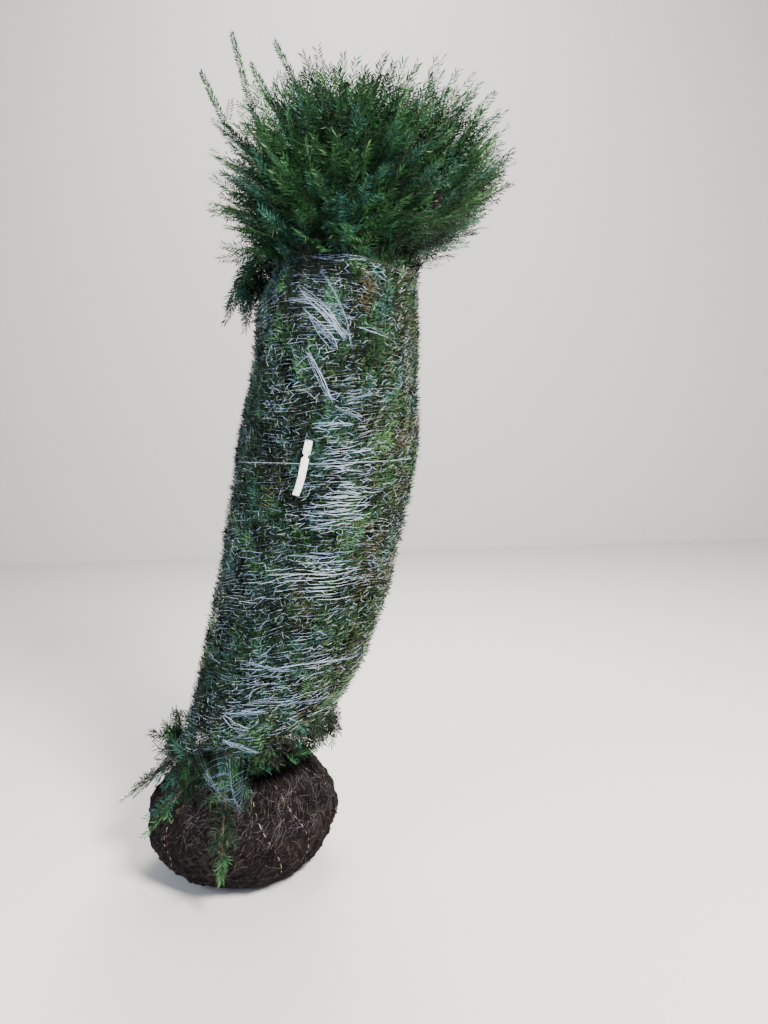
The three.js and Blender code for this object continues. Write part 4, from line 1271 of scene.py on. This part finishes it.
def make_fibres(ball):
    """Loose jute fibres and fine roots that lie on the ball, most on the slant of the cloth."""
    random = np.random.default_rng(FIBRE_SEED)
    angle = random.uniform(-np.pi, np.pi, FIBRES)
    level = random.uniform(-0.74, 0.93, FIBRES)
    slant = np.where(random.random(FIBRES) < 0.55, 0.8, random.uniform(-np.pi, np.pi, FIBRES))
    slant = slant + random.normal(0, 0.3, FIBRES)
    reach = random.uniform(*FIBRE_LENGTHS, FIBRES)
    curl = random.normal(0, 0.4, FIBRES)
    t = np.linspace(-0.5, 0.5, FIBRE_STEPS)[None, :]
    heading = slant[:, None] + curl[:, None] * t
    belt = np.sqrt(1 - level * level)[:, None]
    turn = angle[:, None] + reach[:, None] * t * np.cos(heading) / (BALL_RADIUS * belt)
    climb = level[:, None] + reach[:, None] * t * np.sin(heading) / BALL_HALF_HEIGHT
    climb = np.clip(climb, -0.77, 0.96)
    lift = 0.0006 + 0.0045 * random.random(FIBRES)[:, None] * (t + 0.5) ** 2
    lines, ways = on_ball(ball, turn, climb, lift)
    lines[..., 2] = np.maximum(lines[..., 2], 0.001)
    width = random.uniform(*FIBRE_WIDTHS, FIBRES)[:, None]
    corners, faces = ribbons(lines, width, ways)
    kind = random.choice(4, FIBRES, p=FIBRE_SHARES)
    # painted highlight: more of the cloth's grey fibres high on the right, where the light catches
    # the ball
    highlit_zone = (np.cos(angle - HIGHLIGHT_SIDE) > 0.3) & (level > 0.1)
    highlit_fibres = highlit_zone & (random.random(FIBRES) < 0.30)
    kind = np.repeat(np.where(highlit_fibres, 2, kind), FIBRE_STEPS - 1)
    add_mesh("ball_fibres", FIBRE_LOTS, corners, faces, [kind])


def make_twine(ball):
    """Jute twine laced down the ball from its collar: it sinks into the earth here and there."""
    random = np.random.default_rng(TWINE_SEED)
    t = np.linspace(0, 1, TWINE_STEPS)
    lines = []
    for k in range(TWINE_RUNS):
        start = 2 * np.pi * k / TWINE_RUNS + 0.3 * random.normal()
        angle = start + 0.35 * t * np.sign(random.normal()) + 0.03 * np.sin(9 * t + k)
        sunk = 0.0022 * np.sin(86 * t + 5 * k) + 0.0010 * np.sin(17 * t + k) - 0.0006
        lines.append(on_ball(ball, angle, lerp(0.95, -0.76, t), sunk)[0])
    turn = 2 * np.pi * t
    collar = 0.93 + 0.03 * np.sin(3 * turn)
    lines.append(on_ball(ball, turn, collar, 0.0018 * np.sin(17 * turn))[0])
    lines = np.array(lines)
    lines[..., 2] = np.maximum(lines[..., 2], 0.002)
    corners, faces = tubes(lines, TWINE_RADIUS, lines - [0, 0, BALL_CENTRE], sides=5)
    add_mesh("ball_twine", [TWINE], corners, faces, smooth=True)


def make_crumbs(ball):
    """Crumbs of earth that cling to the cloth: small lumps of eight faces."""
    random = np.random.default_rng(CRUMB_SEED)
    angle = random.uniform(-np.pi, np.pi, CRUMBS)
    level = random.uniform(-0.7, 0.9, CRUMBS)
    centres, _ = on_ball(ball, angle, level, 0.001)
    shape = np.repeat(np.eye(3), 2, axis=0) * np.tile([[1], [-1]], (3, 1))
    faces = np.array(
        [[0, 2, 4], [2, 1, 4], [1, 3, 4], [3, 0, 4], [2, 0, 5], [1, 2, 5], [3, 1, 5], [0, 3, 5]]
    )
    size = random.uniform(*CRUMB_SIZES, (CRUMBS, 1, 1))
    size = size * random.uniform(0.6, 1.2, (CRUMBS, 6, 1))
    corners = centres[:, None, :] + shape * size
    corners[..., 2] = np.maximum(corners[..., 2], 0.0)
    lots = (faces + 6 * np.arange(CRUMBS)[:, None, None]).reshape(-1, 3)
    kind = np.repeat(random.integers(0, 2, CRUMBS), len(faces))
    add_mesh("ball_crumbs", CRUMB_LOTS, corners, [lots], [kind])


# The net
NET_ROUNDS = 150
NET_STEPS = 190
LINK_STEPS = 58
NET_THREAD = 0.00045
NET_LIFT = 0.003
SINK = 0.008  # how deep a thread goes where needles cover it
LINK_WIDTH = 0.0006
LAYER_THREAD = 0.0005
LAYER_GAP = 0.011
RIM_ROUNDS = 5
DRAWN_UP_SIDE, SUNLIT_NET_SIDE, RIM_FRONT = np.radians([-42, -10, -88])
# Patches where the net lies in many layers and free of needles: the height and the angle in
# degrees of each, its half-height and half-width, and how much of the net shows in it
NET_PATCHES = [
    (1.755, -102, 0.040, 34, 0.55),
    (1.645, -94, 0.070, 19, 0.75),
    (1.450, -76, 0.050, 20, 0.55),
    (1.370, -84, 0.012, 11, 0.95),
    (1.290, -74, 0.060, 17, 0.85),
    (1.160, -74, 0.085, 20, 0.95),
    (0.960, -82, 0.055, 33, 1.00),
    (0.700, -72, 0.035, 42, 0.55),
    (0.590, -84, 0.040, 34, 0.55),
    (0.480, -92, 0.035, 16, 0.50),
    (1.550, -35, 0.160, 24, 0.38),
    (1.100, -25, 0.300, 30, 0.35),
    (1.350, 75, 0.300, 40, 0.75),
    (0.850, 105, 0.220, 45, 0.85),
    (1.250, 160, 0.250, 30, 0.60),
]
# Strands bunched by the wrapping, on the front: the heights and angles that each runs through,
# how many threads it has, and how wide they spread
NET_STRANDS = [
    ([(1.807, -104), (1.707, -88), (1.633, -80), (1.559, -76)], 5, 0.004),
    ([(1.704, -119), (1.692, -101), (1.664, -93), (1.588, -79)], 7, 0.009),
    ([(1.740, -114), (1.671, -95), (1.589, -79)], 8, 0.008),
    ([(1.673, -107), (1.590, -89), (1.563, -85)], 6, 0.006),
    ([(1.623, -73), (1.595, -50)], 6, 0.004),
    ([(1.569, -103), (1.494, -93), (1.423, -85)], 8, 0.006),
    ([(1.417, -85), (1.384, -68)], 6, 0.006),
    ([(1.429, -79), (1.450, -59)], 5, 0.004),
    ([(1.374, -94), (1.368, -73)], 6, 0.002),
    ([(0.698, -98), (0.708, -69), (0.700, -33)], 5, 0.004),
    ([(0.717, -113), (0.691, -86)], 3, 0.004),
    ([(0.610, -106), (0.590, -69), (0.588, -44)], 3, 0.004),
    ([(0.566, -117), (0.571, -100), (0.571, -85)], 5, 0.003),
    ([(0.566, -117), (0.531, -105), (0.518, -92)], 4, 0.006),
    ([(0.490, -109), (0.470, -94), (0.445, -78)], 7, 0.006),
    ([(1.272, -153), (1.268, -102), (1.265, -67), (1.262, -20)], 2, 0.001),
]
NET_TONE_STEPS = (0.30, 0.49, 0.66)
TURNED_NEEDLES = 18000


def net_shows(z, angle):
    """How much of the net shows at a place, from 0 where needles have grown through it to 1."""
    shows = 0.30 + 0.10 * np.sin(3 * angle + z / 0.11) + 0.08 * np.sin(5 * angle - z / 0.07 + 1)
    for height, middle, tall, wide, share in NET_PATCHES:
        turn = angle - math.radians(middle)
        turn = np.arctan2(np.sin(turn), np.cos(turn)) / math.radians(wide)
        shows = np.maximum(shows, share * np.exp(-(((z - height) / tall) ** 2) - turn**2))
    return shows


def net_clears(z, angle, random):
    """How clear of the needles each stretch of thread is, from 0 sunk to 1: threads come out and
    sink again every few centimetres."""
    ups = random.normal(size=np.shape(z))
    ups = sum(np.roll(ups, shift, axis=-1) for shift in range(4)) / 2
    return np.clip(1.15 * net_shows(z, angle) - 0.35 + 0.9 * ups, 0, 1)


def net_tones(z, angle, random, clear=0.6):
    """The tone of each stretch of thread at a place, as painted light and shade on one white
    thread: brighter where the net lies free and lit, darker where it sinks into the shade of the
    needles, and a warm tan of painted sunlight on the sun side."""
    value = 0.6 * net_shows(z, angle) + 0.4 * clear + 0.13 * random.normal(size=np.shape(z))
    tone = np.searchsorted(NET_TONE_STEPS, value)
    # painted sunlight: a warm tan on the threads of the sun side
    dusty = np.cos(angle - SUNLIT_NET_SIDE) > 0.62 + 0.2 * random.normal(size=np.shape(z))
    return np.where(dusty & (tone < 3), 4, tone)


def on_net(z, angle, lift=NET_LIFT):
    """The point on the net's outside at a height and an angle, lifted off the needles."""
    return around(z, angle, column_radius(z, angle) + lift)


def rim_height(angle):
    """The height of the net's rim, which sags at the front and on the right."""
    return RIM_HEIGHT - 0.028 - 0.022 * np.cos(angle) - 0.026 * np.sin(angle)


def round_height(k, angle):
    """A round's height: evenly spaced from the foot to the rim, and then drawn about together
    with its neighbours, so that the rounds sag, crowd and part but do not cross much."""
    share = k / (NET_ROUNDS - 1)
    foot = NET_BOTTOM + 0.010 + 0.075 * np.maximum(0, np.cos(angle - DRAWN_UP_SIDE)) ** 2
    foot = foot + 0.008 * np.sin(3 * angle) + 0.007 * np.sin(8 * angle + 2)
    z = lerp(foot, rim_height(angle), share)
    free = np.sin(np.pi * share) ** 0.5
    broad = 0.012 * np.sin(2 * angle + z / 0.09) + 0.008 * np.sin(3 * angle - z / 0.13 + 2)
    local = 0.0016 * np.sin(6 * angle + z / 0.05) + 0.0008 * np.sin(11 * angle - z / 0.031 + 1)
    own = 0.0011 * np.sin(13 * angle + 2.4 * k) + 0.0004 * np.sin(31 * angle + 1.7 * k * k)
    return z + free * (broad + local) + own


def make_net_rounds():
    """The net's main threads: rounds that sink into the needles and come out again."""
    random = np.random.default_rng(ROUNDS_SEED)
    angle = np.linspace(0, 2 * np.pi, NET_STEPS, endpoint=False)[None, :]
    k = np.arange(NET_ROUNDS)[:, None]
    height = round_height(k, angle)
    turns = np.broadcast_to(angle, height.shape)
    clear = net_clears(height, turns, random)
    lines = on_net(height, angle, NET_LIFT - SINK * (1 - clear))
    thick = NET_THREAD * lerp(0.4, 1.0, clear) * lerp(0.4, 1.6, net_shows(height, turns) ** 1.4)
    corners, faces = tubes(lines, thick, around(0, angle, 1.0), closed=True)
    kind = np.repeat(net_tones(height, turns, random, clear).ravel(), 3)
    add_mesh("net_rounds", NET_TONES, corners, faces, [kind], ["net_wrap"], True)


def make_net_links():
    """The finer threads that zigzag between the rounds, broken where needles hide them."""
    random = np.random.default_rng(LINKS_SEED)
    k = np.arange(NET_ROUNDS - 1)[:, None]
    j = np.arange(2 * LINK_STEPS)[None, :]
    angle = (j + 0.9 * k + 0.3 * np.sin(1.3 * j + k)) * np.pi / LINK_STEPS
    after = angle + np.pi / LINK_STEPS
    up = j % 2 == 0
    low, high = round_height(k, angle), round_height(k + 1, angle)
    next_low, next_high = round_height(k, after), round_height(k + 1, after)
    start = on_net(np.where(up, low, high), angle)
    end = on_net(np.where(up, next_high, next_low), after)
    shows = net_shows(low, angle)
    kept = random.random(shows.shape) < 0.06 + 0.24 * shows
    lines = np.stack([start, end], axis=2)[kept]
    way = ((angle + after) / 2)[kept]
    out = np.stack([np.cos(way), np.sin(way), 0 * way], axis=-1)[:, None, :]
    corners, faces = ribbons(lines, LINK_WIDTH, out)
    kind = np.minimum(net_tones(low, angle, random)[kept], 2)
    add_mesh("net_links", NET_TONES, corners, faces, [kind])


def make_net_layers():
    """Further layers in the patches, in bands of threads close together, and the strands."""
    random = np.random.default_rng(LAYERS_SEED)
    steps = 12
    t = np.linspace(0, 1, steps)
    lines, thick, tones = [], [], []
    for height, middle, tall, wide, share in NET_PATCHES:
        bands = 2 + int(2 * tall / LAYER_GAP)
        for band in range(bands):
            level = height + 1.5 * tall * ((band + random.random()) / bands * 2 - 1)
            dashes = 3 + int(11 * share * math.sin(math.pi * (band + 0.5) / bands))
            for _ in range(random.integers(dashes // 2, dashes)):
                centre = math.radians(middle + 0.75 * wide * random.normal())
                half = math.radians(random.uniform(1.5, 0.26 * wide))
                angle = centre + half * (2 * t - 1)
                z = level + random.normal(0, 0.0022) + random.normal(0, 0.0018) * (2 * t - 1)
                z = z + 0.008 * np.sin(2 * angle + level / 0.09)
                z = z + 0.0025 * np.sin(7 * angle + level / 0.05)
                z = z + 0.0005 * np.sin(random.uniform(18, 40) * angle)
                lines.append(on_net(z, angle, NET_LIFT + random.uniform(0.0, 0.003)))
                ends = np.sin(np.pi * (0.06 + 0.88 * t)) ** 0.5
                thick.append(LAYER_THREAD * share * random.uniform(0.5, 1.5) * ends)
                tones.append(int(net_tones(level, centre, random, random.uniform(0.4, 1.2))))
    for through, count, spread in NET_STRANDS:
        places = np.linspace(0, 1, len(through))
        for _ in range(count):
            wander = spread * (random.normal() * np.sin(np.pi * t) + 0.5 * random.normal())
            s = lerp(random.uniform(-0.02, 0.15), random.uniform(0.85, 1.02), t)
            angle = np.radians(np.interp(s, places, [a for _, a in through])) + 0.5 * wander / 0.25
            z = np.interp(s, places, [h for h, _ in through]) + 0.7 * wander
            z = z + 0.0015 * np.sin(14 * t + random.uniform(0, 6))
            lines.append(on_net(z, angle, NET_LIFT + random.uniform(0.002, 0.004)))
            thick.append(np.full(steps, random.uniform(0.00015, 0.00042)))
            tones.append(random.choice([1, 2, 3]))
    lines, thick, tones = np.array(lines), np.array(thick), np.array(tones)
    out = lines - around(lines[..., 2], 0, 0)
    corners, faces = tubes(lines, thick, out)
    which = [np.repeat(tones, len(faces[0]) // len(lines)), tones, tones]
    add_mesh("net_layers", NET_TONES, corners, faces, which, smooth=True)


def make_turned_needles():
    """Needles that the net turned over and pressed flat: their pale undersides and their tips
    lie in its meshes, most where its threads are few."""
    random = np.random.default_rng(TURNED_SEED)
    z = random.uniform(NET_BOTTOM + 0.03, RIM_HEIGHT - 0.02, TURNED_NEEDLES)
    angle = random.uniform(-np.pi, np.pi, TURNED_NEEDLES)
    kept = random.random(TURNED_NEEDLES) > 0.8 * net_shows(z, angle)
    z, angle = z[kept, None], angle[kept, None]
    count = len(z)
    slant = random.uniform(0.1, 2.2, (count, 1))
    t = random.uniform(0.2, 0.6, (count, 1)) * NEEDLE_LENGTH / 2 * np.array([-1, 1])
    turn = angle + t * np.cos(slant) / column_radius(z, angle)
    lift = random.uniform(-0.009, 0.001, (count, 1)) + 0.004 * np.array([-0.5, 0.5])
    lines = on_net(z + t * np.sin(slant), turn, lift)
    out = around(0, angle, 1.0) + 0.5 * random.normal(size=(count, 1, 3))
    corners, faces = ribbons(lines, random.uniform(0.0006, 0.0013, (count, 1)), out)
    # painted sunlight: on the sun side the turned needles take greener and tan tones
    painted_sunlight = np.cos(angle[:, 0] - math.radians(-30)) > 0.75 + 0.2 * random.normal(size=count)
    kind = random.choice(4, count, p=[0.42, 0.30, 0.28, 0.0])
    kind = np.where(painted_sunlight, random.choice(4, count, p=[0.1, 0.2, 0.4, 0.3]), kind)
    add_mesh("needles_turned", UNDERSIDES, corners, faces, [kind])


def make_net_rim():
    """The rim: the net's last rounds rolled together, part of them slack."""
    random = np.random.default_rng(RIM_SEED)
    angle = np.linspace(0, 2 * np.pi, NET_STEPS, endpoint=False)
    lines, heights = [], []
    for k in range(RIM_ROUNDS):
        turn = 2 * np.pi * k / RIM_ROUNDS + 3 * angle
        wave = random.uniform(0.002, 0.007) * np.sin(random.integers(3, 9) * angle + k)
        z = rim_height(angle) + 0.004 * np.sin(turn) + wave
        lines.append(on_net(z, angle, NET_LIFT + 0.002 + 0.003 * np.cos(turn)))
        heights.append(z)
    front = np.cos(angle - RIM_FRONT) > 0.94
    thick = NET_THREAD * lerp(0.3, 1.2, front)
    corners, faces = tubes(np.array(lines), thick, around(0, angle, 1.0), closed=True)
    tone = net_tones(np.array(heights), np.array([angle] * RIM_ROUNDS), random, 0.9 * front)
    kind = np.repeat(tone.ravel(), 3)
    add_mesh("net_rim", NET_TONES, corners, faces, [kind], smooth=True)


# The slack tail of the net over the front of the ball
TAIL_POINT = np.array([0.048, -0.262, 0.292])
TAIL_THREADS = 13
TAIL_DASHES = 46
TAIL_RADIUS, DASH_RADIUS = 0.00017, 0.00026


def make_net_tail():
    """Thin threads from the column's foot that gather to a point on the skirt, with dashes of
    thicker thread across them."""
    random = np.random.default_rng(TAIL_SEED)
    steps = 16
    t = np.linspace(0, 1, steps)
    lines = []
    for k in range(TAIL_THREADS):
        share = k / (TAIL_THREADS - 1)
        angle = math.radians(lerp(-138, -84, share) + 3 * random.normal())
        top = on_net(0.455 + 0.015 * random.normal(), angle)
        sag = np.array([0.0, -0.030 - 0.015 * random.random(), -0.015])
        line = lerp(top, TAIL_POINT + 0.007 * random.normal(size=3), t[:, None])
        lines.append(line + sag * np.sin(np.pi * t)[:, None])
    tails = np.array(lines)
    across = []
    for _ in range(TAIL_DASHES):
        row = tails[:, int(random.triangular(1, 6, 14))] + [0, -0.002, 0]
        first = random.uniform(-0.5, 0.85 * (TAIL_THREADS - 1))
        last = min(TAIL_THREADS - 1, first + random.uniform(1.5, 5))
        share = np.linspace(first, last, 5)
        dash = np.array([np.interp(share, np.arange(TAIL_THREADS), side) for side in row.T]).T
        dash[:, 2] += random.normal(0, 0.006) + random.normal(0, 0.0014, 5)
        across.append(dash)
    tail_corners, tail_faces = tubes(tails, TAIL_RADIUS, FRONT)
    cross_corners, cross_faces = tubes(np.array(across), DASH_RADIUS, FRONT)
    faces = tail_faces + [lot + len(tail_corners) for lot in cross_faces]
    # painted shade: the tail's threads take the darkest net tone and its dashes the grey one
    which = [np.full(len(lot), index // 3) for index, lot in enumerate(faces)]
    points = np.vstack([tail_corners, cross_corners])
    add_mesh("net_tail", NET_TONES, points, faces, which, smooth=True)


# The label
LABEL_LENGTH = 0.150
LABEL_HALF_WIDTH = 0.0105
LABEL_NECK = 0.005 / LABEL_HALF_WIDTH
LABEL_THICKNESS = 0.0014
LABEL_BOW = 0.004
LABEL_LIFT = 0.009
LABEL_ENDS = [(1.182, math.radians(-99.5)), (1.330, math.radians(-97))]  # heights and angles
# Its widths as shares of the full one: at its foot, and at heights above it
LABEL_FOOT = 0.9
LABEL_OUTLINE = [
    (0.025, 0.93), (0.050, 0.96), (0.075, 0.98), (0.100, 1.0), (0.106, LABEL_NECK),
    (0.109, LABEL_NECK), (0.115, 1.05), (0.133, 1.0), (LABEL_LENGTH, 0.95),
]


def make_label():
    """A blank plant label: a strip drawn up from its foot edge, with a neck under its head."""
    strip = start_primitive(
        bpy.ops.mesh.primitive_plane_add, size=1.0, location=(0, 0.0005, 0), rotation=(0, 0, 0)
    )
    bpy.ops.object.mode_set(mode="EDIT")
    bpy.ops.mesh.select_all(action="SELECT")
    foot_size = (2 * LABEL_HALF_WIDTH * LABEL_FOOT, 0.001, 1)
    bpy.ops.transform.resize(value=foot_size, center_override=(0, 0, 0))
    bpy.ops.mesh.select_all(action="DESELECT")
    bpy.ops.object.mode_set(mode="OBJECT")
    high = corners_of(strip)[:, 1].max()
    for vertex in strip.data.vertices:
        vertex.select = bool(vertex.co.y > high - 1e-5)
    for edge in strip.data.edges:
        edge.select = all(strip.data.vertices[v].select for v in edge.vertices)
    bpy.ops.object.mode_set(mode="EDIT")
    at, wide = high, LABEL_FOOT
    for height, width in LABEL_OUTLINE:
        bpy.ops.mesh.extrude_edges_move(TRANSFORM_OT_translate={"value": (0, height - at, 0)})
        bpy.ops.transform.resize(value=(width / wide, 1, 1), center_override=(0, height, 0))
        at, wide = height, width
    bpy.ops.object.mode_set(mode="OBJECT")
    use_modifier(strip, "SOLIDIFY", thickness=LABEL_THICKNESS, offset=1.0)
    use_modifier(strip, "BEVEL", width=0.0005, segments=2, limit_method="ANGLE")
    places = corners_of(strip)
    # it bows along its length, as a strip held at its middle does
    places[:, 2] += LABEL_BOW * (1 - ((places[:, 1] - 0.06) / 0.09) ** 2) - LABEL_BOW
    places[:, 0] -= 0.007 * np.clip(1 - places[:, 1] / 0.06, 0, 1) ** 2
    set_corners(strip, places)
    foot, head = (on_net(*end, LABEL_LIFT) for end in LABEL_ENDS)
    up = unit(head - foot)
    across = unit(np.cross(up, [-0.18, -1, 0]))
    face = np.cross(across, up)
    turn = Matrix([(*row, 0) for row in np.array([across, up, face]).T]).to_4x4()
    turn.translation = Vector(foot)
    strip.data.transform(turn)
    strip.data.shade_smooth()
    dress(strip, "label_strip", [LABEL_SHEET], ["plant_label"])


def make_foliage():
    """The three column levels, the crown in halves and the skirt, each with its twigs."""
    column_shoots, column_stalks = [], []
    for level, word in enumerate(LEVEL_WORDS):
        shoots = []
        for sector in range(SECTORS):
            grow_column_mass(level, sector, shoots, column_stalks)
        nodes = [f"column_{word}_{sector + 1}" for sector in range(SECTORS)]
        seed = COLUMN_NEEDLE_SEED + level
        needle_piece(f"needles_column_{word}", shoots, seed, nodes, press_under_net)
        column_shoots += shoots
    twig_piece("twigs_column", column_shoots, column_stalks, press_under_net)

    crown_stalks = []
    halves, names = ({"left": [], "right": []} for _ in range(2))
    for index, mass in enumerate(CROWN_MASSES):
        half = "left" if 90 < mass["angle"] < 270 else "right"
        grow_crown_mass(mass, index, halves[half], crown_stalks)
        names[half].append(mass["name"])
    grow_crown_foot(halves, crown_stalks)
    for number, half in enumerate(halves):
        seed = CROWN_NEEDLE_SEED + number
        needle_piece(f"needles_crown_{half}", halves[half], seed, names[half])
    twig_piece("twigs_crown", halves["left"] + halves["right"], crown_stalks)

    skirt_shoots, skirt_stalks = [], []
    for index, skirt in enumerate(SKIRTS):
        grow_skirt(skirt, index, skirt_shoots, skirt_stalks)
    grow_net_foot(skirt_shoots, skirt_stalks)
    nodes = [skirt["name"] for skirt in SKIRTS]
    needle_piece("needles_skirt", skirt_shoots, SKIRT_NEEDLE_SEED, nodes)
    twig_piece("twigs_skirt", skirt_shoots, skirt_stalks)


# The photograph's camera, floor and light
EYE = (0.478, -2.322, 1.385)
PITCH_DOWN = math.radians(7.1)
ROLL = math.radians(2.03)
FOCAL_PIXELS = 770
PHOTO_HEIGHT = 1024
SENSOR = 36.0
STUDIO_SIZE = 40
BACKDROP_AWAY = 5.5


def set_camera():
    """The camera that took the photograph, as far as it can be worked out."""
    view = bpy.data.cameras.new("camera")
    view.sensor_fit = "VERTICAL"
    view.sensor_height = SENSOR
    view.lens = SENSOR * FOCAL_PIXELS / PHOTO_HEIGHT
    view.clip_end = 100
    camera = bpy.data.objects.new("camera", view)
    bpy.context.collection.objects.link(camera)
    level = Matrix.Rotation(math.pi / 2 - PITCH_DOWN, 4, "X")
    camera.matrix_world = Matrix.Translation(EYE) @ level @ Matrix.Rotation(-ROLL, 4, "Z")
    bpy.context.scene.camera = camera


def set_studio():
    """A pale floor and backdrop, and four soft lamps: each has its place, its width, its power,
    its colour and the point that it faces."""
    for name, place, turn in (
        ("studio_floor", (0, 0, 0), 0), ("studio_backdrop", (0, BACKDROP_AWAY, 0), math.pi / 2)
    ):
        sheet = start_primitive(
            bpy.ops.mesh.primitive_plane_add, size=STUDIO_SIZE, location=place,
            rotation=(turn, 0, 0),
        )
        sheet.name = name
        sheet.data.materials.append(FLOOR_PAINT)
    tree_middle = (0.25, 0, 1.2)
    for name, place, size, power, colour, target in (
        ("key", (2.6, -2.8, 4.2), 1.3, 950, "#fff6ea", tree_middle),
        ("fill", (-3.2, -2.4, 2.6), 2.4, 140, "#dfeaff", tree_middle),
        ("back", (0.6, 3.0, 3.6), 2.0, 220, "#fff4e4", tree_middle),
        ("wash", (0.4, 2.2, 6.5), 3.0, 260, "#ffffff", (0.4, BACKDROP_AWAY, 1.5)),
    ):
        light = bpy.data.lights.new(name, "AREA")
        light.shape = "DISK"
        light.size = size
        light.energy = power
        light.color = linear(colour)[:3]
        lamp = bpy.data.objects.new(name, light)
        bpy.context.collection.objects.link(lamp)
        lamp.location = place
        aim = Vector(target) - Vector(place)
        lamp.rotation_euler = aim.to_track_quat("-Z", "Y").to_euler()
    world = bpy.data.worlds.new("studio")
    world.use_nodes = True
    sky = world.node_tree.nodes["Background"]
    sky.inputs["Color"].default_value = linear("#e4e7ea")
    sky.inputs["Strength"].default_value = 0.30
    bpy.context.scene.world = world


set_camera()
set_studio()
make_trunk()
make_boughs()
# The two cores are dark skins of painted shade inside the column and the crown
ringed_core("column_inside", NET_BOTTOM + 0.01, RIM_HEIGHT + 0.015, 60, column_core_radius)
ringed_core("crown_inside", HEART_BOTTOM - 0.01, HEART_TOP - 0.012, 24, crown_core_radius)
make_foliage()
root_ball = make_root_ball()
make_fibres(root_ball)
make_twine(root_ball)
make_crumbs(root_ball)
make_net_rounds()
make_net_links()
make_net_layers()
make_turned_needles()
make_net_rim()
make_net_tail()
make_label()
